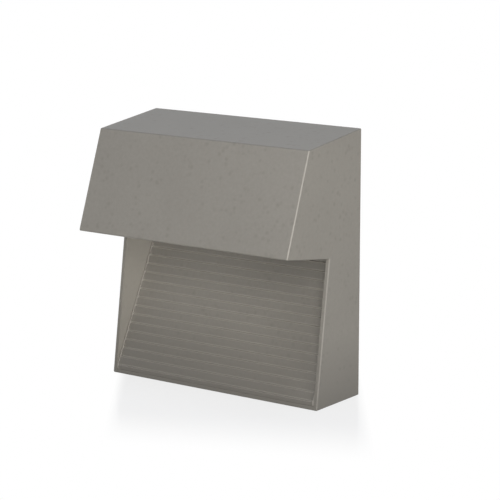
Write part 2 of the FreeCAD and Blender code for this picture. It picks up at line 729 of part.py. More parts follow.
def make_clamp_screws():
    nuts = new_body("flange_nuts")
    outline = new_sketch(nuts, "outline", lift="Worked.flange_top")
    for x, y in CLAMPS:
        rectangle(outline, f"{x} - Sizes.nut_half_width", f"{x} + Sizes.nut_half_width",
                  f"{y} - Sizes.nut_half_width", f"{y} + Sizes.nut_half_width")
        circle(outline, x, y, "Worked.clamp_hole_radius")
    pad(nuts, outline, "Sizes.nut_height")

    for name, centre in zip(("right", "left"), CLAMPS):
        washer = new_body(name + "_washer")
        ring = new_sketch(washer, "ring", lift="Worked.washer_bottom")
        circle(ring, *centre, "Sizes.washer_radius")
        circle(ring, *centre, "Worked.clamp_hole_radius")
        pad(washer, ring, "Sizes.washer_thickness")

        screw = new_body(name + "_clamp_screw")
        head = "Worked.washer_bottom - Sizes.clamp_head_height"
        drums(screw, "head", [centre], "Sizes.clamp_head_radius", head,
              "Sizes.clamp_head_height")
        drums(screw, "shank", [centre], "Sizes.clamp_radius", "Worked.washer_bottom",
              "Sizes.clamp_length")
        crosses(screw, "recess", [centre], "Sizes.clamp_head_radius", head,
                "1.5 * Sizes.cross_depth")


def make_lens():
    outer = ("Worked.aperture_half_width + Sizes.lens_lap",
             "Worked.aperture_front - Sizes.lens_lap",
             "Worked.aperture_back + Sizes.lens_lap")
    half, front, back = outer

    gasket = new_body("lens_gasket", "underside")
    ring = new_sketch(gasket, "ring", lift="Sizes.wall")
    rectangle(ring, f"-({half})", half, front, back)
    rectangle(ring, "-Worked.aperture_half_width", "Worked.aperture_half_width",
              "Worked.aperture_front", "Worked.aperture_back")
    pad(gasket, ring, "Sizes.lens_gasket_thickness")

    lens = new_body("lens", "underside")
    block(lens, "flange", f"-({half})", half, front, back,
          "Worked.lens_seat", "Sizes.lens_thickness")
    gap = "Sizes.running_gap"
    block(lens, "window", f"-Worked.aperture_half_width + {gap}",
          f"Worked.aperture_half_width - {gap}", f"Worked.aperture_front + {gap}",
          f"Worked.aperture_back - {gap}", "Sizes.lens_recess",
          "Worked.lens_seat - Sizes.lens_recess")

    frame = new_body("lens_frame", "underside")
    ring = new_sketch(frame, "ring", lift="Worked.frame_seat")
    rectangle(ring, "-Worked.frame_half_width", "Worked.frame_half_width", front, back)
    rectangle(ring, "-Worked.aperture_half_width", "Worked.aperture_half_width",
              "Worked.aperture_front", "Worked.aperture_back")
    for x, y in FRAME_SCREWS:
        circle(ring, x, y, SCREW_FIT)
    pad(frame, ring, "Sizes.frame_thickness")
    small_screws("lens_frame_screws", FRAME_SCREWS,
                 "Worked.frame_seat + Sizes.frame_thickness")


def make_light_engine():
    spreader = new_body("heat_spreader", "underside")
    plate = new_sketch(spreader, "plate", lift="Sizes.spreader_height")
    rectangle(plate, "-Worked.spreader_half_width", "Worked.spreader_half_width",
              "Worked.spreader_front", "Worked.spreader_back")
    for x, y in SPREADER_SCREWS:
        circle(plate, x, y, SCREW_FIT)
    for x, y in DRIVER_SCREWS + BOARD_SCREWS:
        circle(plate, x, y, SCREW_BITE)
    for x, y in OUTPUT_HOLES:
        circle(plate, x, y, "Sizes.lead_radius + Sizes.running_gap")
    for x, y in PEGS:
        circle(plate, x, y, "Sizes.peg_radius + 0.05")
    pad(spreader, plate, "Sizes.spreader_thickness")
    drums(spreader, "earth_boss", [EARTH], "Sizes.earth_boss_radius",
          "Worked.spreader_top", "Sizes.earth_boss_height")
    bores(spreader, "earth_bore", [EARTH], SCREW_BITE,
          "Sizes.spreader_height", "Sizes.spreader_thickness + Sizes.earth_boss_height")
    small_screws("heat_spreader_screws", SPREADER_SCREWS, "Worked.spreader_top")

    front = "Worked.aperture_middle - Sizes.board_half_width"
    back = "Worked.aperture_middle + Sizes.board_half_width"
    for name, bottom, thickness in (
        ("thermal_pad", "Worked.board_top", "Sizes.pad_thickness"),
        ("led_board", "Worked.board_bottom", "Sizes.board_thickness"),
    ):
        body = new_body(name, "underside")
        outline = new_sketch(body, "outline", lift=bottom)
        rectangle(outline, "-Worked.board_half_length", "Worked.board_half_length", front, back)
        for x, y in BOARD_SCREWS:
            circle(outline, x, y, SCREW_FIT)
        for x, y in OUTPUT_HOLES:
            circle(outline, x, y, "Sizes.lead_radius + 0.05")
        pad(body, outline, thickness)
    small_screws("led_board_screws", BOARD_SCREWS, "Worked.board_bottom", upside_down=True)

    chips = new_body("led_chips", "underside")
    outline = new_sketch(chips, "outline",
                         lift="Worked.board_bottom - Sizes.chip_height")
    for number in range(CHIPS):
        x = f"{number - (CHIPS - 1) / 2} * Worked.chip_pitch"
        rectangle(outline, f"{x} - Sizes.chip_length / 2", f"{x} + Sizes.chip_length / 2",
                  "Worked.aperture_middle - Sizes.chip_width / 2",
                  "Worked.aperture_middle + Sizes.chip_width / 2")
    pad(chips, outline, "Sizes.chip_height")


def make_driver():
    base = new_body("driver_base", "underside")
    block(base, "plate", "Worked.driver_left", "Worked.driver_right",
          "Worked.driver_front", "Worked.driver_back",
          "Worked.spreader_top", "Sizes.driver_base_thickness")
    block(base, "ears", "Worked.driver_middle - Sizes.driver_ear_half_width",
          "Worked.driver_middle + Sizes.driver_ear_half_width",
          "Worked.driver_front - Sizes.driver_ear_length",
          "Worked.driver_back + Sizes.driver_ear_length",
          "Worked.spreader_top", "Sizes.driver_base_thickness")
    bores(base, "screw_holes", DRIVER_SCREWS, SCREW_FIT,
          "Worked.spreader_top", "Sizes.driver_base_thickness")
    posts = [
        (x, y)
        for x in ("Worked.driver_left + Sizes.driver_post_inset",
                  "Worked.driver_right - Sizes.driver_post_inset")
        for y in ("Worked.driver_front + Sizes.driver_post_inset",
                  "Worked.driver_back - Sizes.driver_post_inset")
    ]
    drums(base, "posts", posts, "Sizes.driver_post_radius",
          "Worked.spreader_top + Sizes.driver_base_thickness", "Sizes.driver_post_height")
    small_screws("driver_screws", DRIVER_SCREWS,
                 "Worked.spreader_top + Sizes.driver_base_thickness")

    case = new_body("driver_case", "underside")
    floor = "Worked.spreader_top + Sizes.driver_base_thickness"
    block(case, "shell", "Worked.driver_left", "Worked.driver_right",
          "Worked.driver_front", "Worked.driver_back", floor,
          "Sizes.driver_height - Sizes.driver_base_thickness")
    cut_block(case, "inside", "Worked.driver_left + Sizes.driver_wall",
              "Worked.driver_right - Sizes.driver_wall",
              "Worked.driver_front + Sizes.driver_wall",
              "Worked.driver_back - Sizes.driver_wall", floor,
              "Sizes.driver_height - Sizes.driver_base_thickness - Sizes.driver_wall")
    exits = (
        ("output_exits", "Worked.driver_left", ("Worked.output_first", "Worked.output_second")),
        ("input_exits", "Worked.driver_right - Sizes.driver_wall",
         ("Worked.neutral_front", "Worked.live_front")),
    )
    for name, start, places in exits:
        holes = new_sketch(case, name, "YZ_Plane", start)
        for place in places:
            circle(holes, place, "Worked.wire_height", "Sizes.lead_radius + 0.05")
        pocket(case, holes, "Sizes.driver_wall", backward=True)

    circuit = new_body("driver_circuit_board", "underside")
    edge = "(Sizes.driver_wall + Sizes.circuit_gap)"
    block(circuit, "board", f"Worked.driver_left + {edge}", f"Worked.driver_right - {edge}",
          f"Worked.driver_front + {edge}", f"Worked.driver_back - {edge}",
          "Worked.circuit_bottom", "Sizes.circuit_thickness")

    transformer = new_body("driver_transformer", "underside")
    half = "Sizes.transformer_side / 2"
    middle = "(Worked.driver_front + Worked.driver_back) / 2"
    block(transformer, "core", f"Worked.driver_middle - {half}",
          f"Worked.driver_middle + {half}", f"{middle} - {half}", f"{middle} + {half}",
          "Worked.circuit_top", "Sizes.transformer_height")
    capacitor = new_body("driver_capacitor", "underside")
    drums(capacitor, "can",
          [("Worked.driver_right - Sizes.driver_wall - Sizes.capacitor_radius - 1",
            "Worked.driver_back - Sizes.driver_wall - Sizes.capacitor_back")],
          "Sizes.capacitor_radius", "Worked.circuit_top", "Sizes.capacitor_height")


def make_terminals():
    body = new_body("terminal_block", "underside")
    block(body, "body", "Worked.terminal_left", "Worked.terminal_right", "Worked.terminal_front",
          "Worked.terminal_back", "Worked.spreader_top", "Sizes.terminal_height")
    drums(body, "pegs", PEGS, "Sizes.peg_radius",
          "Worked.spreader_top - Sizes.peg_length", "Sizes.peg_length")
    cage_bottom = "Worked.spreader_top + Sizes.cage_floor"
    for number, x in enumerate(POLE_X):
        cut_block(body, f"cage_room_{number}",
                  f"{x} - Sizes.cage_half_width - 0.05", f"{x} + Sizes.cage_half_width + 0.05",
                  "Worked.terminal_front + Sizes.cage_inset - 0.05",
                  "Worked.terminal_back - Sizes.cage_inset + 0.05",
                  "Worked.spreader_top", "Sizes.cage_floor + Sizes.cage_height")
    bores(body, "screw_wells", [(x, "Worked.terminal_middle") for x in POLE_X],
          "Sizes.pole_screw_radius + Sizes.running_gap", cage_bottom,
          "Sizes.terminal_height")
    depth = "Worked.terminal_back - Worked.terminal_front"
    wires = new_sketch(body, "wire_holes", "XZ_Plane", "-Worked.terminal_back")
    for x in POLE_X:
        circle(wires, x, "Worked.wire_height", "Sizes.wire_hole_radius")
    pocket(body, wires, depth, backward=True)

    cages = new_body("terminal_cages", "underside")
    for number, x in enumerate(POLE_X):
        block(cages, f"cage_{number}", f"{x} - Sizes.cage_half_width",
              f"{x} + Sizes.cage_half_width", "Worked.terminal_front + Sizes.cage_inset",
              "Worked.terminal_back - Sizes.cage_inset", cage_bottom,
              "Sizes.cage_height")
    bores(cages, "threads", [(x, "Worked.terminal_middle") for x in POLE_X],
          "Sizes.pole_screw_radius + 0.05", "Worked.wire_height",
          "Sizes.cage_height")
    wires = new_sketch(cages, "wire_holes", "XZ_Plane", "-Worked.terminal_back")
    for x in POLE_X:
        circle(wires, x, "Worked.wire_height", "Sizes.wire_hole_radius")
    pocket(cages, wires, depth, backward=True)

    screws = new_body("terminal_screws", "underside")
    centres = [(x, "Worked.terminal_middle") for x in POLE_X]
    tip = "Worked.wire_height + Sizes.lead_radius"
    drums(screws, "shanks", centres, "Sizes.pole_screw_radius", tip, "Sizes.pole_screw_length")
    crosses(screws, "recess", centres, "Sizes.pole_screw_radius",
            f"{tip} + Sizes.pole_screw_length - Sizes.cross_depth", "Sizes.cross_depth")


def sweep(body, route, profile, edges):
    """A round lead along a route of straight runs and tangent arcs."""
    pipe = body.newObject("PartDesign::AdditivePipe", body.Name + "_pipe")
    pipe.Profile = profile
    pipe.Spine = (route, edges)
    body.Tip = pipe
    document.recompute()


def bent_route(sketch, start, corner, end, bend, guess):
    """Two straight runs that meet at a right angle, joined by a tangent arc.

    The first run goes along the sketch's X from start to the corner, the second
    along its Y from the corner to end.  guess holds the same points as numbers."""
    (x0, y0), (x1, y1), radius = guess
    side_x = math.copysign(radius, x1 - x0)
    side_y = math.copysign(radius, y1 - y0)
    first_end = FreeCAD.Vector(x1 - side_x, y0, 0)
    second_start = FreeCAD.Vector(x1, y0 + side_y, 0)
    slant = radius * (1 - math.sqrt(0.5))
    halfway = FreeCAD.Vector(x1 - math.copysign(slant, side_x),
                             y0 + math.copysign(slant, side_y), 0)
    sketch.addGeometry(Part.LineSegment(FreeCAD.Vector(x0, y0, 0), first_end))
    arc = Part.Arc(first_end, halfway, second_start)
    sketch.addGeometry(arc)
    sketch.addGeometry(Part.LineSegment(second_start, FreeCAD.Vector(x1, y1, 0)))
    bent = sketch.Geometry[1]
    begins_first = bent.StartPoint.distanceToPoint(first_end) < radius / 10
    near, far = (1, 2) if begins_first else (2, 1)
    sketch.addConstraint(Sketcher.Constraint("Tangent", 0, 2, 1, near))
    sketch.addConstraint(Sketcher.Constraint("Tangent", 1, far, 2, 1))
    sketch.addConstraint(Sketcher.Constraint("Horizontal", 0))
    sketch.addConstraint(Sketcher.Constraint("Vertical", 2))
    pin(sketch, 0, 1, *start)
    index = sketch.addConstraint(Sketcher.Constraint("Radius", 1, radius))
    sketch.setExpression(f"Constraints[{index}]", bend)
    pin(sketch, 2, 2, corner, end)


def make_leads():
    tail = "Sizes.lead_tail"
    # From the driver to the terminal block, level with the circuit board's top
    poles = (
        ("neutral_lead", 0, "neutral_front"),
        ("live_lead", 1, "live_front"),
    )
    for name, pole, exit_name in poles:
        body = new_body(name, "underside")
        start = f"Worked.driver_right - {tail}"
        exit_place = "Worked." + exit_name
        end = f"Worked.terminal_middle - Sizes.pole_screw_radius / 2"
        route = new_sketch(body, "route", lift="Worked.wire_height")
        guess = (
            (worked.driver_right - sheet.lead_tail, getattr(worked, exit_name)),
            (worked.terminal_left + (pole + 0.5) * sheet.pole_pitch,
             worked.terminal_middle),
            sheet.lead_bend,
        )
        bent_route(route, (start, exit_place), POLE_X[pole], end, "Sizes.lead_bend", guess)
        section = new_sketch(body, "section", "YZ_Plane", start)
        circle(section, exit_place, "Worked.wire_height", "Sizes.lead_radius")
        sweep(body, route, section, ["Edge1", "Edge2", "Edge3"])

    # From the driver down through the heat spreader to the light board
    for name, place in (("led_positive_lead", "Worked.output_first"),
                        ("led_negative_lead", "Worked.output_second")):
        body = new_body(name, "underside")
        start = f"Worked.driver_left + {tail}"
        route = new_sketch(body, "route", "XZ_Plane", f"-{place}")
        guess = (
            (worked.driver_left + sheet.lead_tail, worked.wire_height),
            (worked.output_left, worked.board_bottom),
            sheet.output_bend,
        )
        bent_route(route, (start, "Worked.wire_height"), "Worked.output_left",
                   "Worked.board_bottom", "Sizes.output_bend", guess)
        section = new_sketch(body, "section", "YZ_Plane", start)
        circle(section, place, "Worked.wire_height", "Sizes.lead_radius")
        sweep(body, route, section, ["Edge1", "Edge2", "Edge3"])


def make_earth():
    x, y = EARTH
    ring_bottom = "Worked.spreader_top + Sizes.earth_boss_height"
    ring_top = f"{ring_bottom} + Sizes.earth_ring_thickness"
    ring = new_body("earth_ring_terminal", "underside")
    eye = new_sketch(ring, "eye", lift=ring_bottom)
    circle(eye, x, y, "Sizes.earth_boss_radius")
    circle(eye, x, y, SCREW_FIT)
    pad(ring, eye, "Sizes.earth_ring_thickness")
    barrel_start = f"{y} + Sizes.earth_boss_radius + 0.6"
    outside = "(Sizes.lead_radius + Sizes.earth_barrel_wall)"
    block(ring, "neck", f"{x} - {outside}", f"{x} + {outside}",
          f"{y} + Sizes.earth_boss_radius - 1", f"{barrel_start} + 0.4",
          ring_bottom, "Sizes.earth_ring_thickness")
    block(ring, "rise", f"{x} - {outside}", f"{x} + {outside}",
          f"{barrel_start} - 0.4", f"{barrel_start} + 0.4",
          ring_bottom, f"Worked.wire_height - ({ring_bottom})")
    barrel = new_sketch(ring, "barrel", "XZ_Plane", f"-({barrel_start})")
    circle(barrel, x, "Worked.wire_height", outside)
    pad(ring, barrel, "Sizes.earth_barrel_length", backward=True)
    bore = new_sketch(ring, "barrel_bore", "XZ_Plane", f"-({barrel_start} + 0.4)")
    circle(bore, x, "Worked.wire_height", "Sizes.lead_radius + 0.05")
    pocket(ring, bore, "Sizes.earth_barrel_length")

    lead = new_body("earth_lead", "underside")
    start = f"{barrel_start} + 1"
    core = new_sketch(lead, "section", "XZ_Plane", f"-({start})")
    circle(core, x, "Worked.wire_height", "Sizes.lead_radius")
    pad(lead, core, f"Worked.terminal_middle - Sizes.pole_screw_radius / 2 - ({start})",
        backward=True)
    small_screws("earth_screw", [EARTH], ring_top)


make_wall_plate()
make_clamp_screws()
make_housing()
make_reflector()
make_reflector_screws()
make_lens()
make_light_engine()
make_driver()
make_terminals()
make_leads()
make_earth()
document.recompute()

for item in document.Objects:
    faults = {"Invalid", "Error"} & set(item.State)
    if faults:
        raise ValueError(f"{item.Name} is {sorted(faults)}: {item.getStatusString()}")

os.makedirs("parts", exist_ok=True)
for old in os.listdir("parts"):
    os.remove(os.path.join("parts", old))
for body in bodies:
    shape = body.Shape
    if shape.isNull() or not shape.isValid() or not shape.Solids:
        raise ValueError(f"{body.Label} has no valid solid")
    box = shape.BoundBox
    print(f"{body.Label}: {len(shape.Solids)} solids, {shape.Volume:.1f} mm3, "
          f"x {box.XMin:.2f}..{box.XMax:.2f} y {box.YMin:.2f}..{box.YMax:.2f} "
          f"z {box.ZMin:.2f}..{box.ZMax:.2f}")
    shape.exportStep(f"parts/{body.Label}.step")
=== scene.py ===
import json
import math

import bmesh
import bpy
from mathutils import Matrix, Vector

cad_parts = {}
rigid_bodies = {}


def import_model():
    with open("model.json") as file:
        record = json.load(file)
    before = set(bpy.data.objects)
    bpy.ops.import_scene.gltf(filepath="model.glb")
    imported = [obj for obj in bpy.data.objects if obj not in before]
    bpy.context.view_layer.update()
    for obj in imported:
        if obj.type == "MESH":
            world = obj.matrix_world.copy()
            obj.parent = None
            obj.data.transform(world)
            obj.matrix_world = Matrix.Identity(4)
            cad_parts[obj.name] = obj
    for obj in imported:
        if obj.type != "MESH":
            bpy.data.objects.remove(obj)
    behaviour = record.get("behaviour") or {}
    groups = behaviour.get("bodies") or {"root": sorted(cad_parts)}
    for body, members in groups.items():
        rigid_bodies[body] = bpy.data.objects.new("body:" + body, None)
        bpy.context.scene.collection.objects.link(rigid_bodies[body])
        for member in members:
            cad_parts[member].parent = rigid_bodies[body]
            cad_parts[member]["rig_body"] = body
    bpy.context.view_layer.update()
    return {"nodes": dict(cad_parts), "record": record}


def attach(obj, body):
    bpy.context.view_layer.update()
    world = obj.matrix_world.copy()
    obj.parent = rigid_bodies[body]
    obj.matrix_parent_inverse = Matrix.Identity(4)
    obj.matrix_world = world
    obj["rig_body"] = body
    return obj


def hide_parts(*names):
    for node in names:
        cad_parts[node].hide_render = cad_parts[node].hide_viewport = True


# A wall-hung step light: a cast housing whose hood throws light down a stepped
# reflector.  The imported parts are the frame; the pieces here give them their looks.

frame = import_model()

MM = 0.001
# Corners nearer than this are one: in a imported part, a finished mesh, a tree's skin
PACKED_WELD, WELD, SKIN_WELD = 2e-6, 1e-7, 1e-6
FLOOR_LEVEL = -90 * MM
LIP = Vector((0, -54, -22)) * MM
UNDERSIDE_FALL, UNDERSIDE_DEPTH = 4.5 * MM, 31 * MM
UNDERSIDE_TILT = math.atan2(UNDERSIDE_FALL, UNDERSIDE_DEPTH)
UPRIGHT = Matrix.Identity(4)


def extent(points):
    """Lowest and highest corner of some points."""
    return tuple(
        Vector([pick(point[axis] for point in points) for axis in range(3)])
        for pick in (min, max)
    )


def measured(node, placement=UPRIGHT):
    """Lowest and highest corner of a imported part, seen in a placement's own axes."""
    turned_back = placement.inverted()
    return extent([turned_back @ vertex.co for vertex in frame["nodes"][node].data.vertices])


def separate_solids(node, placement):
    """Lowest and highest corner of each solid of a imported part, left to right."""
    turned_back = placement.inverted()
    mesh = bmesh.new()
    mesh.from_mesh(frame["nodes"][node].data)
    bmesh.ops.remove_doubles(mesh, verts=mesh.verts, dist=PACKED_WELD)
    unseen = set(mesh.verts)
    solids = []
    while unseen:
        reached = [unseen.pop()]
        group = list(reached)
        while reached:
            for edge in reached.pop().link_edges:
                for vertex in edge.verts:
                    if vertex in unseen:
                        unseen.remove(vertex)
                        reached.append(vertex)
                        group.append(vertex)
        solids.append(extent([turned_back @ vertex.co for vertex in group]))
    mesh.free()
    return sorted(solids, key=lambda solid: (round(solid[0].x, 5), round(solid[0].y, 5)))


# Laid on the hood's underside: Y back towards the wall, Z up into the hood
HOOD = Matrix.Translation(LIP) @ Matrix.Rotation(-UNDERSIDE_TILT, 4, "X")

# The stepped reflector: places in depth from the wall, heights above the floor
TREADS = 15
STEPS_FRONT, STEPS_BACK = -31.3 * MM, -4.54 * MM
FIRST_TREAD = 3.71 * MM
TREAD_DEPTH = 0.6 * MM
RIM_WIDTH = 0.7 * MM
RIM_INSIDE = 52.4 * MM
PANEL_THICKNESS = 1.1 * MM
CAST_WALL = 1.8 * MM
DROP_FROM_HOOD = 6.465 * MM
STEPS_HEIGHT = LIP.z - FLOOR_LEVEL - UNDERSIDE_FALL - DROP_FROM_HOOD - FIRST_TREAD
TREAD_RUN = (STEPS_BACK - STEPS_FRONT) / TREADS
TREAD_RISE = STEPS_HEIGHT / TREADS
SEAT_LEAN = TREAD_RUN / TREAD_RISE
SEAT_TILT = math.atan(SEAT_LEAN)
RIM_LIFT = 0.2 * MM / math.cos(SEAT_TILT)
SEAT_FOOT = (
    STEPS_FRONT + TREAD_RUN + (CAST_WALL - FIRST_TREAD) * SEAT_LEAN
    + PANEL_THICKNESS / math.cos(SEAT_TILT)
)
SEAT_TOP = STEPS_BACK + PANEL_THICKNESS
# Laid on the reflector's seat: Y up the slope, Z out to the front
SLOPE = (
    Matrix.Translation((0, SEAT_FOOT, FLOOR_LEVEL + CAST_WALL))
    @ Matrix.Rotation(math.pi / 2 - SEAT_TILT, 4, "X")
)


def in_scene(name, data):
    thing = bpy.data.objects.new(name, data)
    bpy.context.scene.collection.objects.link(thing)
    return thing


# Camera, floor and lights --------------

def set_camera():
    azimuth, elevation = math.radians(35.904), math.radians(11.5041)
    place = (0.5278, -0.7325, 0.1508)
    back = Vector((
        math.sin(azimuth) * math.cos(elevation),
        -math.cos(azimuth) * math.cos(elevation),
        math.sin(elevation),
    ))
    right = Vector((math.cos(azimuth), math.sin(azimuth), 0))
    up = back.cross(right)
    camera = in_scene("camera", bpy.data.cameras.new("camera"))
    camera.data.lens = 150.95
    camera.data.sensor_width = 36
    camera.data.clip_start = 0.01
    turn = Matrix((right, up, back)).transposed().to_4x4()
    camera.matrix_world = Matrix.Translation(place) @ turn
    bpy.context.scene.camera = camera


set_camera()
bpy.context.scene.view_settings.view_transform = "Standard"


class Recipe:
    """A node tree built step by step, with sums written as sums."""

    def __init__(self, tree):
        self.tree = tree

    def add(self, kind, inputs=None, output=0, **settings):
        node = self.tree.nodes.new(kind)
        for name, value in settings.items():
            setattr(node, name, value)
        for key, value in (inputs or {}).items():
            self.feed(node.inputs[key], value)
        return Value(self, node.outputs[output]) if node.outputs else node

    def feed(self, socket, value):
        if isinstance(value, Value):
            self.tree.links.new(value.socket, socket)
        else:
            socket.default_value = value

    def sum(self, operation, *values):
        return self.add("ShaderNodeMath", dict(enumerate(values)), operation=operation)

    def point(self, x=0.0, y=0.0, z=0.0):
        return self.add("ShaderNodeCombineXYZ", {0: x, 1: y, 2: z})

    def split(self, vector):
        return self.add("ShaderNodeSeparateXYZ", {0: vector})

    def ranged(self, value, start, end, low, high, **settings):
        """Runs from low to high while the value runs from start to end."""
        return self.add("ShaderNodeMapRange", {
            "Value": value, "From Min": start, "From Max": end, "To Min": low, "To Max": high,
        }, **settings)

    def lookup(self, value, points):
        """A value read from a line through the given points."""
        result = self.add("ShaderNodeFloatCurve", {"Value": value})
        node = result.socket.node
        curve = node.mapping.curves[0]
        node.mapping.use_clip = False
        for index, (x, y) in enumerate(points):
            if index < 2:
                curve.points[index].location = (x, y)
            else:
                curve.points.new(x, y)
        for point in curve.points:
            point.handle_type = "VECTOR"
        node.mapping.update()
        return result


class Value:
    """What comes out of one node, ready for sums."""

    def __init__(self, recipe, socket):
        self.recipe = recipe
        self.socket = socket

    def other(self, output):
        return Value(self.recipe, self.socket.node.outputs[output])

    def __add__(self, other):
        return self.recipe.sum("ADD", self, other)

    def __sub__(self, other):
        return self.recipe.sum("SUBTRACT", self, other)

    def __mul__(self, other):
        return self.recipe.sum("MULTIPLY", self, other)

    def __truediv__(self, other):
        return self.recipe.sum("DIVIDE", self, other)


def is_seen_directly(recipe):
    """1 for rays from the camera, from gloss and through glass, 0 for light."""
    path = recipe.add("ShaderNodeLightPath", output="Is Camera Ray")
    seen = recipe.sum("MAXIMUM", path, path.other("Is Glossy Ray"))
    return recipe.sum("MAXIMUM", seen, path.other("Is Transmission Ray"))


def set_floor():
    mesh = bmesh.new()
    bmesh.ops.create_circle(mesh, cap_ends=True, radius=4.0, segments=64)
    data = bpy.data.meshes.new("floor")
    bmesh.ops.translate(mesh, verts=mesh.verts, vec=(0, 0, FLOOR_LEVEL))
    mesh.to_mesh(data)
    mesh.free()
    floor = in_scene("floor", data)

    material = bpy.data.materials.new("pale_floor")
    material.use_nodes = True
    material.node_tree.nodes.clear()
    recipe = Recipe(material.node_tree)
    spot = recipe.add("ShaderNodeTexCoord", output="Object")
    foot = (0, -0.02, FLOOR_LEVEL)

    def measure(operation, other):
        return recipe.add(
            "ShaderNodeVectorMath", {0: spot, 1: other}, operation=operation, output="Value"
        )

    def fading(value, start, end, near, far):
        return recipe.ranged(value, start, end, near, far, interpolation_type="SMOOTHSTEP")

    # The floor is polished only below the light and a little way towards the camera
    across = measure("DOT_PRODUCT", (0.81, 0.586, 0))
    towards = recipe.sum("ABSOLUTE", measure("DOT_PRODUCT", (0.586, -0.81, 0)))
    polish = (
        fading(recipe.sum("ABSOLUTE", across + 0.007), 0.049, 0.055, 1.0, 0.0)
        * fading(towards - across * 0.25, 0.062, 0.122, 1.0, 0.0)
    )
    lifted = fading(measure("DISTANCE", foot), 0.085, 0.12, 0.0, 0.28)
    bounce = recipe.add("ShaderNodeEmission", {"Strength": lifted})
    white = recipe.add("ShaderNodeBsdfDiffuse", {"Color": (0.96, 0.96, 0.96, 1)})
    glow = recipe.add("ShaderNodeEmission", {"Strength": 1.0})
    pale = recipe.add("ShaderNodeMixShader", {0: polish * 0.17, 1: glow, 2: white})
    gloss = recipe.add("ShaderNodeBsdfGlossy", {"Color": (1, 1, 1, 1), "Roughness": 0.12})
    polished = recipe.add("ShaderNodeMixShader", {0: polish * 0.06, 1: pale, 2: gloss})
    shown = recipe.add(
        "ShaderNodeMixShader", {0: is_seen_directly(recipe), 1: bounce, 2: polished}
    )
    recipe.add("ShaderNodeOutputMaterial", {"Surface": shown})
    data.materials.append(material)


def set_surroundings():
    world = bpy.data.worlds.new("studio")
    bpy.context.scene.world = world
    world.use_nodes = True
    world.node_tree.nodes.clear()
    recipe = Recipe(world.node_tree)
    fill = recipe.add("ShaderNodeBackground", {"Color": (0.99, 0.995, 1, 1), "Strength": 0.05})
    white = recipe.add("ShaderNodeBackground", {"Color": (1, 1, 1, 1), "Strength": 1.0})
    shown = recipe.add("ShaderNodeMixShader", {0: is_seen_directly(recipe), 1: fill, 2: white})
    recipe.add("ShaderNodeOutputWorld", {"Surface": shown})


def hang_lamp(name, place, size, power, colour):
    """A soft panel, width by height, turned to the middle of the light."""
    lamp = in_scene(name, bpy.data.lights.new(name, "AREA"))
    lamp.data.shape = "RECTANGLE"
    lamp.data.size, lamp.data.size_y = size
    lamp.data.energy = power
    lamp.data.color = colour
    lamp.location = place
    direction = Vector((0, -0.03, -0.03)) - Vector(place)
    lamp.rotation_euler = direction.to_track_quat("-Z", "Y").to_euler()


WARM, COOL = (1, 0.975, 0.965), (0.82, 0.865, 1.0)

set_floor()
set_surroundings()
hang_lamp("side_lamp", (1.268, -0.492, -0.040), (0.45, 0.105), 6.1, WARM)
hang_lamp("front_lamp", (0.450, -0.809, -0.061), (0.35, 0.07), 2.9, WARM)
hang_lamp("high_lamp", (0.483, -0.606, 0.244), (0.3, 0.3), 1.9, WARM)
hang_lamp("top_lamp", (0.030, -0.201, 0.955), (0.6, 0.6), 4.05, COOL)
hang_lamp("back_lamp", (-0.602, 0.639, -0.054), (0.3, 0.07), 5.5, WARM)


# Finishes ------------------------------

class Finish(Recipe):
    """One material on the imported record's colours, with its own grain."""

    def __init__(self, name, colour, roughness, metallic=0.0, **sockets):
        self.material = bpy.data.materials.new(name)
        self.material.use_nodes = True
        super().__init__(self.material.node_tree)
        self.shader = self.tree.nodes["Principled BSDF"]
        self.colour = colour
        self.shader.inputs["Base Color"].default_value = (*colour, 1)
        self.shader.inputs["Roughness"].default_value = roughness
        self.shader.inputs["Metallic"].default_value = metallic
        for socket, value in sockets.items():
            self.shader.inputs[socket.replace("_", " ")].default_value = value
        self.place = self.add("ShaderNodeTexCoord", output="Object")
        self.bump = None

    def stretched(self, x, y, z):
        """Places squeezed along the axes, for streaks and strokes."""
        return self.add("ShaderNodeMapping", {"Vector": self.place, "Scale": (x, y, z)})

    def mottle(self, scale, detail=2.0, place=None):
        return self.add(
            "ShaderNodeTexNoise",
            {"Vector": place or self.place, "Scale": scale, "Detail": detail},
        )

    def cells(self, scale):
        return self.add("ShaderNodeTexVoronoi", {"Vector": self.place, "Scale": scale})

    def ramp(self, value, stops):
        result = self.add("ShaderNodeValToRGB", {"Fac": value})
        elements = result.socket.node.color_ramp.elements
        for index, (position, colour) in enumerate(stops):
            element = elements[index] if index < 2 else elements.new(position)
            element.position = position
            element.color = (*colour, 1)
        return result

    def toned(self, share):
        return [min(1, channel * share) for channel in self.colour]

    def shade(self, value, spread):
        """The finish's own colour, lighter and darker by spread as value runs 0 to 1."""
        return self.ramp(value, [(0.3, self.toned(1 - spread)), (0.7, self.toned(1 + spread))])

    def blend(self, share, first, second):
        mix = self.tree.nodes.new("ShaderNodeMix")
        mix.data_type = "RGBA"
        self.feed(mix.inputs["Factor"], share)
        self.feed(mix.inputs["A"], first)
        self.feed(mix.inputs["B"], second)
        return Value(self, mix.outputs["Result"])

    def paint(self, colour):
        self.feed(self.shader.inputs["Base Color"], colour)

    def dull(self, value, low, high):
        """Roughness that runs from low to high with value."""
        self.feed(self.shader.inputs["Roughness"], self.ranged(value, 0.0, 1.0, low, high))

    def relief(self, height, strength, depth):
        """Bumps of the given depth in metres, laid over those already there."""
        bump = self.tree.nodes.new("ShaderNodeBump")
        self.feed(bump.inputs["Height"], height)
        bump.inputs["Strength"].default_value = strength
        bump.inputs["Distance"].default_value = depth
        if self.bump:
            self.tree.links.new(self.bump.outputs["Normal"], bump.inputs["Normal"])
        self.bump = bump
        self.tree.links.new(bump.outputs["Normal"], self.shader.inputs["Normal"])


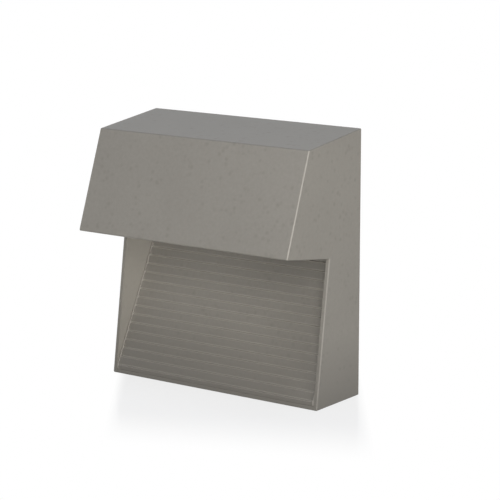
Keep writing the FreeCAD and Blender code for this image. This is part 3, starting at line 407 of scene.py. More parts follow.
def step_painted_highlights(finish):
    """Painted highlights on the reflector's coat: each tread's nose is painted light, more so
    higher up, and so are the rims. It paints no shade."""
    spot = finish.split(finish.place)
    height = (spot.other(2) - (FLOOR_LEVEL + FIRST_TREAD)) / TREAD_RISE
    # Painted highlight along each tread's nose, stronger higher up
    nose = finish.ranged(finish.sum("PINGPONG", height, 0.5), 0.03, 0.13, 1.0, 0.0)
    nose = nose * (height * 0.032 + 0.38)
    # Painted highlight over the side rims
    rim = finish.sum("GREATER_THAN", finish.sum("ABSOLUTE", spot), RIM_INSIDE) * 0.5
    return finish.sum("MAXIMUM", nose, rim), 0.0


def cast_painted_light_and_shade(finish):
    """Painted light and shade on the casting's coat: a painted highlight on the rounded sides
    of the hood's face, painted light on the faces turned in to the recess, painted shade round
    the roof."""
    way = finish.split(finish.add("ShaderNodeTexCoord", output="Normal"))
    spot = finish.split(finish.place)
    sideways, forward = finish.sum("ABSOLUTE", way), way.other(1) * -1.0
    # Painted highlight on the rounded sides of the hood's face, faint below the lip
    edge = finish.ranged(sideways * forward, 0.12, 0.4, 0.0, 0.4)
    edge = edge * finish.ranged(spot.other(2), LIP.z - 4 * MM, LIP.z, 0.05, 1.0)
    # Painted light on the faces turned in to the recess
    inward = finish.sum("GREATER_THAN", way * spot * -1.0, 0.04) * 0.3
    # Painted shade on the rounded edges round the roof
    rim = way.other(2) * finish.sum("MAXIMUM", sideways, forward)
    rim = finish.ranged(rim, 0.34, 0.45, 0.0, 0.6)
    return finish.sum("MAXIMUM", edge, inward), rim


def powder_coat(name, colour, tones):
    """Satin coat on a casting: fine grain, faint clouds and a few darker flecks.
    Painted shade darkens it towards the foot, and painted light and shade go where the given
    function says.
    """
    finish = Finish(name, colour, 0.46, Specular_IOR_Level=0.42)
    clouds = finish.mottle(26, 3.0)
    specks = finish.mottle(720, 4.0)
    grains = finish.mottle(2600, 2.0)
    tone = finish.shade(clouds * 0.45 + specks * 0.55, 0.07)
    flecks = finish.ramp(finish.cells(330), [(0.1, (1, 1, 1)), (0.42, (0, 0, 0))])
    rare = finish.ramp(finish.mottle(170, 1.0), [(0.47, (0, 0, 0)), (0.6, (1, 1, 1))])
    tone = finish.blend(flecks * rare * 0.62, tone, (*finish.toned(0.8), 1))
    # Painted shade: the coat darkens over the lowest 34 mm, towards the floor
    height = finish.split(finish.place).other(2) - FLOOR_LEVEL
    foot = finish.ranged(height + clouds * 0.006, 0.002, 0.034, 0.85, 0.0)
    # Painted light and painted shade, each given as a share
    painted_light_share, darker = tones(finish)
    darker = finish.sum("MAXIMUM", foot, darker)
    # Painted shade: darkened towards 0.66 of the colour
    tone = finish.blend(darker, tone, (*finish.toned(0.66), 1))
    # Painted light: lightened towards 1.85 of the colour
    finish.paint(finish.blend(painted_light_share, tone, (*finish.toned(1.85), 1)))
    finish.dull(specks, 0.38, 0.56)
    finish.relief(specks, 0.22, 0.00012)
    finish.relief(grains, 0.22, 0.00004)
    return finish.material


def rolled_metal(name, colour, roughness, across):
    """Sheet or bar with fine strokes along the direction that across squeezes."""
    finish = Finish(name, colour, roughness, metallic=1.0)
    strokes = finish.mottle(900, 3.0, finish.stretched(*across))
    clouds = finish.mottle(60, 2.0)
    finish.paint(finish.shade(strokes * 0.6 + clouds * 0.4, 0.06))
    finish.dull(strokes, roughness * 0.75, roughness * 1.35)
    finish.relief(strokes, 0.18, 0.00003)
    return finish.material


def plated_metal(name, colour, roughness):
    """Plated or drawn small parts: even, with faint clouds and a fine grain."""
    finish = Finish(name, colour, roughness, metallic=1.0)
    clouds = finish.mottle(420, 3.0)
    finish.paint(finish.shade(clouds, 0.10))
    finish.dull(clouds, roughness * 0.7, roughness * 1.4)
    finish.relief(finish.mottle(3000, 2.0), 0.15, 0.00002)
    return finish.material


def soft_rubber(name, colour, cells):
    finish = Finish(name, colour, 0.72, Specular_IOR_Level=0.3)
    pores = finish.cells(cells)
    finish.paint(finish.shade(pores, 0.35))
    finish.relief(pores, 0.5, 0.00015)
    return finish.material


def grained(name, colour, roughness, clouds, grain, dulled=(), **sockets):
    """Faint clouds over a fine grain.  clouds is (scale, detail, spread), grain is
    (scale, detail, strength, depth) and dulled is the lowest and highest roughness."""
    finish = Finish(name, colour, roughness, **sockets)
    *cloud_sizes, spread = clouds
    *grain_sizes, strength, depth = grain
    pattern = finish.mottle(*grain_sizes)
    finish.paint(finish.shade(finish.mottle(*cloud_sizes), spread))
    if dulled:
        finish.dull(pattern, *dulled)
    finish.relief(pattern, strength, depth)
    return finish.material


def moulded_plastic(name, colour, roughness=0.42):
    return grained(
        name, colour, roughness, (90, 2.0, 0.035), (1500, 3.0, 0.2, 0.00005),
        (roughness * 0.85, roughness * 1.2), Specular_IOR_Level=0.45,
    )


def solder_mask(name, colour, trace):
    """Circuit board: copper tracks show as faint raised bands under the mask."""
    roughness = 0.32
    finish = Finish(name, colour, roughness)
    bands = finish.add(
        "ShaderNodeTexBrick",
        {"Vector": finish.stretched(1, 1, 0), "Scale": 260.0, "Mortar Size": 0.045,
         "Color1": (0, 0, 0, 1), "Color2": (0, 0, 0, 1), "Mortar": (1, 1, 1, 1)},
    )
    finish.paint(finish.blend(bands * 0.5, finish.shade(finish.mottle(300), 0.04), (*trace, 1)))
    finish.dull(finish.mottle(500), roughness * 0.8, roughness * 1.3)
    finish.relief(bands, 0.25, 0.00003)
    return finish.material


def wound_tape():
    """Clear yellow film wound in level turns round the transformer."""
    finish = Finish("wound_tape", (0.75, 0.54, 0.1), 0.22, Coat_Weight=0.5)
    turns = finish.add(
        "ShaderNodeTexWave", {"Vector": finish.place, "Scale": 110.0, "Distortion": 0.4},
        bands_direction="Z",
    )
    finish.paint(finish.shade(turns, 0.16))
    finish.relief(turns, 0.3, 0.00008)
    return finish.material


def lead_insulation(name, colour, stripe=None):
    finish = Finish(name, colour, 0.36, Specular_IOR_Level=0.5)
    tone = finish.shade(finish.mottle(320, 3.0), 0.12)
    if stripe:
        around = finish.split(finish.add("ShaderNodeUVMap"))
        band = finish.sum("GREATER_THAN", finish.sum("PINGPONG", around * 3.0, 0.5), 0.32)
        tone = finish.blend(band, tone, (*stripe, 1))
    finish.paint(tone)
    finish.dull(finish.mottle(900, 2.0), 0.3, 0.46)
    finish.relief(finish.mottle(1400, 2.0), 0.12, 0.00004)
    return finish.material


FINISHES = {
    name: maker(name, *details)
    for name, maker, *details in (
        # The two coats carry painted highlights and painted shade, from the function given last
        # in their rows
        ("housing_coat", powder_coat, (0.262, 0.249, 0.219), cast_painted_light_and_shade),
        ("reflector_coat", powder_coat, (0.254, 0.241, 0.213), step_painted_highlights),
        ("plate_steel", rolled_metal, (0.56, 0.56, 0.55), 0.36, (0.03, 1, 1)),
        ("screw_steel", plated_metal, (0.6, 0.6, 0.59), 0.28),
        ("zinc_steel", plated_metal, (0.5, 0.51, 0.52), 0.34),
        ("bare_aluminium", rolled_metal, (0.7, 0.7, 0.71), 0.38, (0.04, 1, 1)),
        ("foam", soft_rubber, (0.03, 0.03, 0.03), 1500),
        ("seal_rubber", soft_rubber, (0.035, 0.035, 0.036), 4200),
        ("board_white", solder_mask, (0.84, 0.84, 0.82), (0.72, 0.73, 0.7)),
        ("driver_plastic", moulded_plastic, (0.79, 0.79, 0.77)),
        ("circuit_green", solder_mask, (0.025, 0.18, 0.07), (0.06, 0.3, 0.12)),
        ("terminal_plastic", moulded_plastic, (0.78, 0.78, 0.75), 0.5),
        ("brass", plated_metal, (0.72, 0.5, 0.2), 0.26),
        ("lead_brown", lead_insulation, (0.15, 0.055, 0.022)),
        ("lead_blue", lead_insulation, (0.02, 0.1, 0.42)),
        ("lead_green", lead_insulation, (0.08, 0.34, 0.05), (0.75, 0.62, 0.05)),
        ("lead_red", lead_insulation, (0.42, 0.02, 0.02)),
        ("lead_black", lead_insulation, (0.022, 0.022, 0.022)),
    )
}
FINISHES.update(
    lens_plastic=grained(
        "frosted_window", (0.86, 0.87, 0.87), 0.34, (1900, 3.0, 0.03),
        (1900, 3.0, 0.25, 0.00006), (0.26, 0.44), Transmission_Weight=0.85, IOR=1.49,
    ),
    chip_yellow=grained(
        "phosphor", (0.86, 0.66, 0.14), 0.38, (5200, 3.0, 0.10), (5200, 3.0, 0.2, 0.00003),
        Coat_Weight=0.4,
    ),
    capacitor_sleeve=grained(
        "shrink_sleeve", (0.028, 0.03, 0.05), 0.26, (260, 2.0, 0.2), (700, 2.0, 0.12, 0.00006)
    ),
    thermal_sheet=grained(
        "thermal_gel", (0.35, 0.45, 0.5), 0.6, (1200, 3.0, 0.1), (2200, 2.0, 0.3, 0.00004)
    ),
    transformer_tape=wound_tape(),
)
CHIP_CASE = moulded_plastic("chip_case", (0.8, 0.8, 0.78), 0.3)
BARE_COPPER = plated_metal("bare_copper", (0.72, 0.36, 0.2), 0.3)
FERRITE = moulded_plastic("ferrite", (0.045, 0.045, 0.05), 0.5)
CAN_METAL = plated_metal("can_metal", (0.72, 0.72, 0.73), 0.25)

SLOT_OF = {part["node"]: part["material_slot"] for part in frame["record"]["subparts"]}


# Ways of making a piece ----------------

# Edges sharper than these are eased, and shaded as edges
EASED_FROM, SHARP_FROM = math.radians(30), math.radians(32)


def baked(data, kind, inputs=None, **settings):
    """A mesh with one modifier worked into it."""
    holder = in_scene("holder", data)
    modifier = holder.modifiers.new(kind, kind)
    for setting, value in settings.items():
        setattr(modifier, setting, value)
    for socket, value in (inputs or {}).items():
        modifier[socket] = value
    ready = holder.evaluated_get(bpy.context.evaluated_depsgraph_get())
    result = bpy.data.meshes.new_from_object(ready)
    holder.modifiers.remove(modifier)
    bpy.data.objects.remove(holder)
    return result


def add_piece(name, data, nodes, materials=(), placement=UPRIGHT):
    """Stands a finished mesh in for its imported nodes, on their body, in their finish."""
    data.transform(placement)
    # Broad faces stay flat up to their eased edges
    data = baked(data, "WEIGHTED_NORMAL", keep_sharp=True, weight=100)
    data.name = name
    if materials or not data.materials:
        data.materials.clear()
        for material in materials or (FINISHES[SLOT_OF[nodes[0]]],):
            data.materials.append(material)
    piece = in_scene(name, data)
    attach(piece, frame["nodes"][nodes[0]]["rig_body"])
    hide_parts(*nodes)


def fill(data, mesh):
    """Puts a bmesh into mesh data, closed up, with its faces outwards."""
    bmesh.ops.remove_doubles(mesh, verts=mesh.verts, dist=WELD)
    bmesh.ops.recalc_face_normals(mesh, faces=mesh.faces)
    mesh.to_mesh(data)
    mesh.free()
    data.shade_smooth()
    data.set_sharp_from_angle(angle=SHARP_FROM)


def add_solid(name, mesh, nodes, materials=(), placement=UPRIGHT):
    """A piece from a bmesh."""
    data = bpy.data.meshes.new(name)
    fill(data, mesh)
    add_piece(name, data, nodes, materials, placement)


def bevel(mesh, edges, width, segments):
    bmesh.ops.bevel(
        mesh, geom=edges, offset=width, offset_type="OFFSET", segments=segments,
        profile=0.5, affect="EDGES", clamp_overlap=True,
    )


def eased_copy(node, width, segments, broad=()):
    """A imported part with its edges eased.  broad lists (test, width) for edges that
    are rounded more: test is given the edge's middle."""
    mesh = bmesh.new()
    mesh.from_mesh(frame["nodes"][node].data)
    bmesh.ops.remove_doubles(mesh, verts=mesh.verts, dist=PACKED_WELD)
    bmesh.ops.dissolve_limit(
        mesh, angle_limit=math.radians(0.6), verts=mesh.verts, edges=mesh.edges
    )

    def corners():
        return [
            edge for edge in mesh.edges
            if len(edge.link_faces) == 2 and edge.calc_face_angle(0) > EASED_FROM
        ]

    for test, radius in broad:
        chosen = [edge for edge in corners() if test((edge.verts[0].co + edge.verts[1].co) / 2)]
        bevel(mesh, chosen, radius, 6)
    bevel(mesh, corners(), width, segments)
    return mesh


def circle(count):
    """Cosine and sine of evenly spaced angles."""
    angles = [2 * math.pi * i / count for i in range(count)]
    return [(math.cos(angle), math.sin(angle)) for angle in angles]


def turned(outline, around=48):
    """A turned solid.  The outline is (radius, height) pairs, closed on itself, or
    open with both ends on the axis."""
    mesh = bmesh.new()
    closed = outline[0][0] > 0 and outline[-1][0] > 0
    rings = []
    for radius, height in outline:
        if radius > 0:
            places = [(radius * x, radius * y, height) for x, y in circle(around)]
            rings.append([mesh.verts.new(place) for place in places])
        else:
            rings.append([mesh.verts.new((0, 0, height))] * around)
    pairs = list(zip(rings, rings[1:])) + ([(rings[-1], rings[0])] if closed else [])
    for first, second in pairs:
        for i in range(around):
            j = (i + 1) % around
            # A ring on the axis is one corner, given many times
            corners = list(dict.fromkeys([first[i], first[j], second[j], second[i]]))
            if len(corners) > 2:
                mesh.faces.new(corners)
    return mesh


def eased_corner(before, here, after, radius, steps=4):
    """The arc that takes the place of a corner.  Points are pairs."""
    before, here, after = Vector(before), Vector(here), Vector(after)
    to_before, to_after = before - here, after - here
    reach = min(radius, to_before.length * 0.45, to_after.length * 0.45)
    start = here + to_before.normalized() * reach
    end = here + to_after.normalized() * reach
    arc = []
    for step in range(steps + 1):
        share = step / steps
        point = start * (1 - share) ** 2 + here * 2 * share * (1 - share) + end * share ** 2
        arc.append((point.x, point.y))
    return arc


def rounded(points, radius):
    """A closed outline with every corner eased."""
    count = len(points)
    result = []
    for i in range(count):
        result += eased_corner(*(points[(i + k) % count] for k in (-1, 0, 1)), radius)
    return result


def extruded(profile, left, right):
    """A prism across the light: the profile is (Y, Z) pairs."""
    mesh = bmesh.new()
    ends = [[mesh.verts.new((x, y, z)) for y, z in profile] for x in (left, right)]
    for end in ends:
        mesh.faces.new(end)
    for i in range(len(profile)):
        j = (i + 1) % len(profile)
        mesh.faces.new([ends[0][i], ends[0][j], ends[1][j], ends[1][i]])
    return mesh


def place_mesh(mesh, matrix):
    bmesh.ops.transform(mesh, matrix=matrix, verts=mesh.verts)
    return mesh


def joined(meshes):
    whole = bmesh.new()
    for mesh in meshes:
        data = bpy.data.meshes.new("part")
        mesh.to_mesh(data)
        mesh.free()
        whole.from_mesh(data)
        bpy.data.meshes.remove(data)
    return whole


def grow(name, tree_maker, inputs, start=()):
    """Runs a tree on a start mesh and keeps what it grows as a plain mesh."""
    recipe, sockets = tree_maker()
    data = bpy.data.meshes.new(name)
    data.from_pydata(start, [], [])
    given = {sockets[label]: value for label, value in inputs.items()}
    grown = baked(data, "NODES", given, node_group=recipe.tree)
    mesh = bmesh.new()
    mesh.from_mesh(grown)
    fill(grown, mesh)
    return grown


def new_tree(name, inputs):
    """An empty Geometry Nodes tree with named inputs, and what identifies each."""
    tree = bpy.data.node_groups.new(name, "GeometryNodeTree")
    tree.interface.new_socket("Geometry", in_out="INPUT", socket_type="NodeSocketGeometry")
    sockets = {}
    kinds = {int: "Int", float: "Float", bpy.types.Material: "Material"}
    for label, kind in inputs.items():
        socket = tree.interface.new_socket(
            label, in_out="INPUT", socket_type="NodeSocket" + kinds[kind]
        )
        sockets[label] = socket.identifier
    tree.interface.new_socket("Geometry", in_out="OUTPUT", socket_type="NodeSocketGeometry")
    recipe = Recipe(tree)
    given = tree.nodes.new("NodeGroupInput")
    values = {socket.name: Value(recipe, socket) for socket in given.outputs if socket.name}
    return recipe, sockets, values


def end_tree(recipe, geometry, finish):
    """Every tree ends in plain geometry in its finish."""
    real = recipe.add("GeometryNodeRealizeInstances", {"Geometry": geometry})
    coated = recipe.add("GeometryNodeSetMaterial", {"Geometry": real, "Material": finish})
    recipe.add("NodeGroupOutput", {0: coated})


def joined_in_tree(recipe, *geometries):
    join = recipe.tree.nodes.new("GeometryNodeJoinGeometry")
    for geometry in geometries:
        recipe.tree.links.new(geometry.socket, join.inputs[0])
    return Value(recipe, join.outputs[0])


def raised_in_tree(recipe, flat, way, height):
    """A closed solid from flat faces, raised along a vector."""
    top = recipe.add(
        "GeometryNodeExtrudeMesh",
        {"Mesh": flat, "Offset": way, "Offset Scale": height, "Individual": False},
    )
    floor = recipe.add("GeometryNodeFlipFaces", {"Mesh": flat})
    return recipe.add(
        "GeometryNodeMergeByDistance",
        {"Geometry": joined_in_tree(recipe, floor, top), "Distance": WELD},
    )


def skin_in_tree(recipe, columns, rows, place):
    """A sheet of points laid where place says, and joined where they meet."""
    sheet = recipe.add("GeometryNodeMeshGrid", {
        "Size X": 1.0, "Size Y": 1.0, "Vertices X": columns, "Vertices Y": rows,
    })
    skin = recipe.add("GeometryNodeSetPosition", {"Geometry": sheet, "Position": place})
    return recipe.add("GeometryNodeMergeByDistance", {"Geometry": skin, "Distance": SKIN_WELD})


def moved_in_tree(recipe, solid, height):
    return recipe.add(
        "GeometryNodeTransform", {"Geometry": solid, "Translation": recipe.point(z=height)}
    )


def set_on_points(recipe, given, solid, **turning):
    """The last nodes of a tree that stands one solid on each point given."""
    placed = recipe.add("GeometryNodeInstanceOnPoints", {
        "Points": given["Geometry"], "Instance": solid, **turning,
    })
    end_tree(recipe, placed, given["Finish"])


# Stepped reflector ---------------------

def stepped_panel_tree():
    """Shallow treads up a slope: one rounded tread line, repeated, over a flat back."""
    recipe, sockets, given = new_tree("stepped_panel", {
        "Treads": int, "Run": float, "Rise": float, "Front": float, "First tread": float,
        "Foot": float, "Back foot": float, "Back top": float, "Width": float,
        "Finish": bpy.types.Material,
    })
    root_below, nose, root = (TREAD_DEPTH - TREAD_RUN, -TREAD_RISE), (0, 0), (TREAD_DEPTH, 0)
    nose_above = (TREAD_RUN, TREAD_RISE)
    nose_arc = eased_corner(root_below, nose, root, 0.26 * MM)
    line = nose_arc + eased_corner(nose, root, nose_above, 0.22 * MM)
    count = len(line)
    columns = given["Treads"] * float(count) + float(len(nose_arc) + 1)
    index = recipe.add("GeometryNodeInputIndex")
    column = recipe.sum("FLOOR", index / 2.0)
    at_back = recipe.sum("MODULO", index, 2.0)
    step = recipe.sum("MAXIMUM", column - 1.0, 0.0)
    tread = recipe.sum("FLOOR", step / float(count))
    share = recipe.sum("MODULO", step, float(count)) / float(count - 1)
    shares = [i / (count - 1) for i in range(count)]
    reach = recipe.lookup(share, list(zip(shares, (y / TREAD_RUN for y, z in line))))
    lift = recipe.lookup(share, list(zip(shares, (z / TREAD_RISE for y, z in line))))
    depth = recipe.sum(
        "MINIMUM", given["Front"] + (tread + reach) * given["Run"], given["Back top"]
    )
    height = given["First tread"] + (tread + lift) * given["Rise"]
    above_floor = recipe.sum("GREATER_THAN", column, 0.5)
    height = given["Foot"] + (height - given["Foot"]) * above_floor
    lean = given["Run"] / given["Rise"]
    back = recipe.sum(
        "MINIMUM", given["Back foot"] + (height - given["Foot"]) * lean, given["Back top"]
    )
    place = recipe.point(given["Width"] * -0.5, depth + (back - depth) * at_back, height)
    side = skin_in_tree(recipe, columns, 2, place)
    panel = raised_in_tree(recipe, side, recipe.point(x=1.0), given["Width"])
    end_tree(recipe, panel, given["Finish"])
    return recipe, sockets


def make_reflector():
    low, high = measured("ribbed_reflector")
    top = FLOOR_LEVEL + FIRST_TREAD + STEPS_HEIGHT
    panel = grow("ribbed_reflector_panel", stepped_panel_tree, {
        "Treads": TREADS, "Run": TREAD_RUN, "Rise": TREAD_RISE,
        "Front": STEPS_FRONT, "First tread": FLOOR_LEVEL + FIRST_TREAD,
        "Foot": FLOOR_LEVEL + CAST_WALL, "Back foot": SEAT_FOOT, "Back top": SEAT_TOP,
        "Width": high.x - low.x - 2 * RIM_WIDTH, "Finish": FINISHES["reflector_coat"],
    })
    add_piece("ribbed_reflector_panel", panel, ["ribbed_reflector"])
    rims = []
    rim_front = STEPS_FRONT - RIM_LIFT
    profile = [
        (SEAT_FOOT, FLOOR_LEVEL + CAST_WALL), (rim_front, FLOOR_LEVEL + CAST_WALL),
        (rim_front, FLOOR_LEVEL + FIRST_TREAD), (STEPS_BACK - RIM_LIFT, top), (SEAT_TOP, top),
        (SEAT_TOP, FLOOR_LEVEL + CAST_WALL + (SEAT_TOP - SEAT_FOOT) / SEAT_LEAN),
    ]
    for start in (low.x, high.x - RIM_WIDTH):
        rim = extruded(profile, start, start + RIM_WIDTH)
        bevel(rim, rim.edges[:], 0.16 * MM, 3)
        rims.append(rim)
    add_solid("reflector_rims", joined(rims), ["ribbed_reflector"])
    bosses = []
    bore, outer, back = 1.3 * MM, 2.6 * MM, -1.4 * MM
    for low, high in separate_solids("reflector_screws", SLOPE):
        middle = (low + high) / 2
        ring = rounded([(outer, 0), (outer, back), (bore, back), (bore, 0)], 0.2 * MM)
        bosses.append(place_mesh(turned(ring), Matrix.Translation((middle.x, middle.y, 0))))
    add_solid("reflector_bosses", joined(bosses), ["ribbed_reflector"], placement=SLOPE)


# Screws --------------------------------

def screw_tree():
    """A cross-recess screw with a turned thread, one on each point given."""
    recipe, sockets, given = new_tree("cross_recess_screw", {
        "Head radius": float, "Head height": float, "Shank radius": float,
        "Shank length": float, "Pitch": float, "Rows": int,
        "Cross width": float, "Cross depth": float, "Turn over": float,
        "Finish": bpy.types.Material,
    })
    sides = 32

    def wrapped(rows, radius, height):
        """A closed skin round the axis; radius and height follow the share along it."""
        spot = recipe.split(recipe.add("GeometryNodeInputPosition"))
        around, along = spot + 0.5, spot.other(1) + 0.5
        angle = around * (2 * math.pi)
        out = radius(around, along)
        place = recipe.point(
            out * recipe.sum("COSINE", angle), out * recipe.sum("SINE", angle), height(along)
        )
        return skin_in_tree(recipe, sides + 1, rows, place)

    # Shares of the head's radius and height, from its seat over the rim to the top
    dome = [(0, 0), (0.94, 0), (0.985, 0.03), (1, 0.1), (1, 0.5), (0.985, 0.64),
            (0.93, 0.78), (0.84, 0.89), (0.7, 0.96), (0.5, 0.99), (0, 1)]
    shares = [i / (len(dome) - 1) for i in range(len(dome))]

    def domed(along, column, size):
        line = [(share, spot[column]) for share, spot in zip(shares, dome)]
        return recipe.lookup(along, line) * given[size]

    head = wrapped(
        len(dome),
        lambda around, along: domed(along, 0, "Head radius"),
        lambda along: domed(along, 1, "Head height"),
    )
    arm, width = given["Head radius"] * 1.36, given["Cross width"]
    deep = given["Cross depth"] * 2.0
    cutters = [
        moved_in_tree(
            recipe, recipe.add("GeometryNodeMeshCube", {"Size": size}), given["Head height"]
        )
        for size in (recipe.point(arm, width, deep), recipe.point(width, arm, deep))
    ]
    cross = recipe.add("GeometryNodeMeshBoolean", operation="UNION", solver="EXACT")
    for cutter in cutters:
        recipe.tree.links.new(cutter.socket, cross.socket.node.inputs["Mesh 2"])
    cut = recipe.add(
        "GeometryNodeMeshBoolean", {"Mesh 1": head, "Mesh 2": cross},
        operation="DIFFERENCE", solver="EXACT",
    )

    def thread(around, along):
        turns = along * given["Shank length"] / given["Pitch"] + around
        crest = recipe.sum("PINGPONG", turns, 0.5) * 2.0
        within = recipe.sum("GREATER_THAN", along, 0.001)
        within = within * recipe.sum("LESS_THAN", along, 0.999)
        point = recipe.lookup(along, [(0, 1), (0.88, 1), (1, 0.78)])
        return given["Shank radius"] * point * within * (crest * 0.16 + 0.84)

    shank = wrapped(given["Rows"], thread, lambda along: along * given["Shank length"] * -1.0)
    screw = joined_in_tree(recipe, cut, shank)
    spin = recipe.add("FunctionNodeRandomValue", {"Min": 0.0, "Max": 1.4, "Seed": 7}, output=1,
                      data_type="FLOAT")
    turn = recipe.point(given["Turn over"], 0.0, spin)
    rotation = recipe.add("FunctionNodeEulerToRotation", {0: turn})
    set_on_points(recipe, given, screw, Rotation=rotation)
    return recipe, sockets


def make_screws(node, placement, sizes, head_up=True, cross=(0.62, 0.8)):
    """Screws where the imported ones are; the head's height tells seat from tip.
    Sizes in mm: head radius and height, shank radius, pitch; cross width and depth."""
    head_radius, head_height, shank_radius, pitch = (size * MM for size in sizes)
    rows_a_turn, fewest_rows = 5, 12
    seats = []
    length = 0
    for low, high in separate_solids(node, placement):
        middle = (low + high) / 2
        length = high.z - low.z - head_height
        seat = high.z - head_height if head_up else low.z + head_height
        seats.append((middle.x, middle.y, seat))
    grown = grow(node + "_set", screw_tree, {
        "Head radius": head_radius, "Head height": head_height, "Shank radius": shank_radius,
        "Shank length": length, "Pitch": pitch,
        "Rows": max(fewest_rows, int(length / pitch * rows_a_turn)),
        "Cross width": cross[0] * MM, "Cross depth": cross[1] * MM,
        "Turn over": 0.0 if head_up else math.pi, "Finish": FINISHES[SLOT_OF[node]],
    }, seats)
    add_piece(node + "_set", grown, [node], placement=placement)


def make_all_screws():
    small, wide_head = (2.4, 1.6, 1.25, 0.5), (3.36, 1.6, 1.25, 0.5)
    terminal, clamp = (1.38, 1.0, 1.4, 0.5), (3.6, 2.0, 2.0, 0.7)
    for node in ("lens_frame_screws", "heat_spreader_screws", "driver_screws", "earth_screw"):
        make_screws(node, HOOD, small)
    make_screws("led_board_screws", HOOD, small, head_up=False)
    make_screws("reflector_screws", SLOPE, wide_head, head_up=False)
    make_screws("terminal_screws", HOOD, terminal, cross=(0.5, 0.6))
    for node in ("left_clamp_screw", "right_clamp_screw"):
        make_screws(node, UPRIGHT, clamp, head_up=False, cross=(1.0, 1.2))


# Wall plate and what it carries --------

def make_wall_plate():
    fold, fold_radius = Vector((0, -0.8, -85.05)) * MM, 1.2 * MM

    def at_fold(spot):
        return abs(spot.y - fold.y) < 1e-5 and abs(spot.z - fold.z) < 1e-5

    plate = eased_copy("backplate", 0.12 * MM, 2, broad=[(at_fold, fold_radius)])
    add_solid("backplate_sheet", plate, ["backplate"])

    lip, neck, bore = 7.5 * MM, 5.45 * MM, 3.0 * MM
    outline = rounded([
        (bore, 0), (lip, 0), (lip, 0.8 * MM), (neck, 0.8 * MM), (neck, 1.8 * MM),
        (lip, 1.8 * MM), (lip - 0.5 * MM, 3.1 * MM),
        (bore + 1.4 * MM, 4.0 * MM), (bore, 4.0 * MM),
    ], 0.3 * MM)
    mesh = place_mesh(turned(outline), Matrix.Rotation(math.pi / 2, 4, "X"))
    add_solid("cable_grommet_ring", mesh, ["cable_grommet"])


# Light board ---------------------------

def chip_tree():
    """A rounded block on each point given, standing down from it."""
    recipe, sockets, given = new_tree("rounded_block", {
        "Length": float, "Width": float, "Corner": float, "Height": float, "Start": float,
        "Finish": bpy.types.Material,
    })
    outline = recipe.add(
        "GeometryNodeCurvePrimitiveQuadrilateral",
        {"Width": given["Length"], "Height": given["Width"]},
    )
    eased = recipe.add(
        "GeometryNodeFilletCurve",
        {"Curve": outline, "Radius": given["Corner"], "Count": 4}, mode="POLY",
    )
    face = recipe.add("GeometryNodeFillCurve", {"Curve": eased}, mode="NGONS")
    block = raised_in_tree(recipe, face, recipe.point(z=-1.0), given["Height"])
    set_on_points(recipe, given, moved_in_tree(recipe, block, given["Start"] * -1.0))
    return recipe, sockets


def make_light_board():
    chips = separate_solids("led_chips", HOOD)
    tops = [((low.x + high.x) / 2, (low.y + high.y) / 2, high.z) for low, high in chips]
    length, width, height = chips[0][1] - chips[0][0]
    for name, share, start, end, corner, finish in (
        ("led_chip_cases", 1.0, 0.0, 0.9, 0.15, CHIP_CASE),
        ("led_chip_phosphor", 0.78, 0.5, 1.0, 0.45, FINISHES["chip_yellow"]),
    ):
        grown = grow(name, chip_tree, {
            "Length": length * share, "Width": width * share, "Corner": corner * MM,
            "Start": height * start, "Height": height * (end - start), "Finish": finish,
        }, tops)
        add_piece(name, grown, ["led_chips"], placement=HOOD)
    pads = [
        (x + side * (length / 2 + 0.35 * MM), y, z)
        for x, y, z in tops for side in (-1, 1)
    ]
    grown = grow("led_solder_pads", chip_tree, {
        "Length": 1.1 * MM, "Width": width * 0.8, "Corner": 0.2 * MM, "Start": 0.0,
        "Height": 0.12 * MM, "Finish": CAN_METAL,
    }, pads)
    add_piece("led_solder_pads", grown, ["led_board"], placement=HOOD)


# Driver and leads ----------------------

def seat_of(node):
    """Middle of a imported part's seat in the hood, its length from left to right and
    its height."""
    low, high = measured(node, HOOD)
    seat = Vector(((low.x + high.x) / 2, (low.y + high.y) / 2, low.z))
    return Matrix.Translation(seat), high.x - low.x, high.z - low.z


def make_driver():
    seat, side, tall = seat_of("driver_transformer")
    yoke = (side, side * 0.72, tall * 0.16)
    leg = (side * 0.16, side * 0.72, tall * 0.72)
    bars = []
    for size, place in (
        (yoke, (0, 0, tall * 0.08)), (yoke, (0, 0, tall * 0.92)),
        (leg, (side * -0.42, 0, tall * 0.5)), (leg, (side * 0.42, 0, tall * 0.5)),
    ):
        bar = bmesh.new()
        bmesh.ops.create_cube(bar, size=1)
        bars.append(place_mesh(bar, Matrix.Translation(place) @ Matrix.Diagonal((*size, 1))))
    core = joined(bars)
    bevel(core, core.edges[:], 0.25 * MM, 2)
    place_mesh(core, seat)
    add_solid("transformer_core", core, ["driver_transformer"], [FERRITE], HOOD)
    coil = turned(rounded([
        (0.1 * MM, tall * 0.18), (side * 0.33, tall * 0.18), (side * 0.33, tall * 0.82),
        (0.1 * MM, tall * 0.82),
    ], 0.5 * MM))
    place_mesh(coil, seat @ Matrix.Diagonal((1, 1.5, 1, 1)))
    add_solid("transformer_coil", coil, ["driver_transformer"], placement=HOOD)

    seat, width, tall = seat_of("driver_capacitor")
    radius, top = width / 2, tall - 0.2 * MM
    outline = rounded([
        (0, 0), (radius * 0.9, 0), (radius, 0.3 * MM), (radius, 1.3 * MM),
        (radius * 0.93, 1.6 * MM), (radius, 1.9 * MM), (radius, tall - 0.3 * MM),
        (radius * 0.86, tall), (radius * 0.8, top), (0, top),
    ], 0.25 * MM)
    outline = [(0, 0)] + [point for point in outline if point[0] > 0.2 * MM] + [(0, top)]
    can = place_mesh(turned(outline, 40), seat)
    add_solid("capacitor_can", can, ["driver_capacitor"], placement=HOOD)


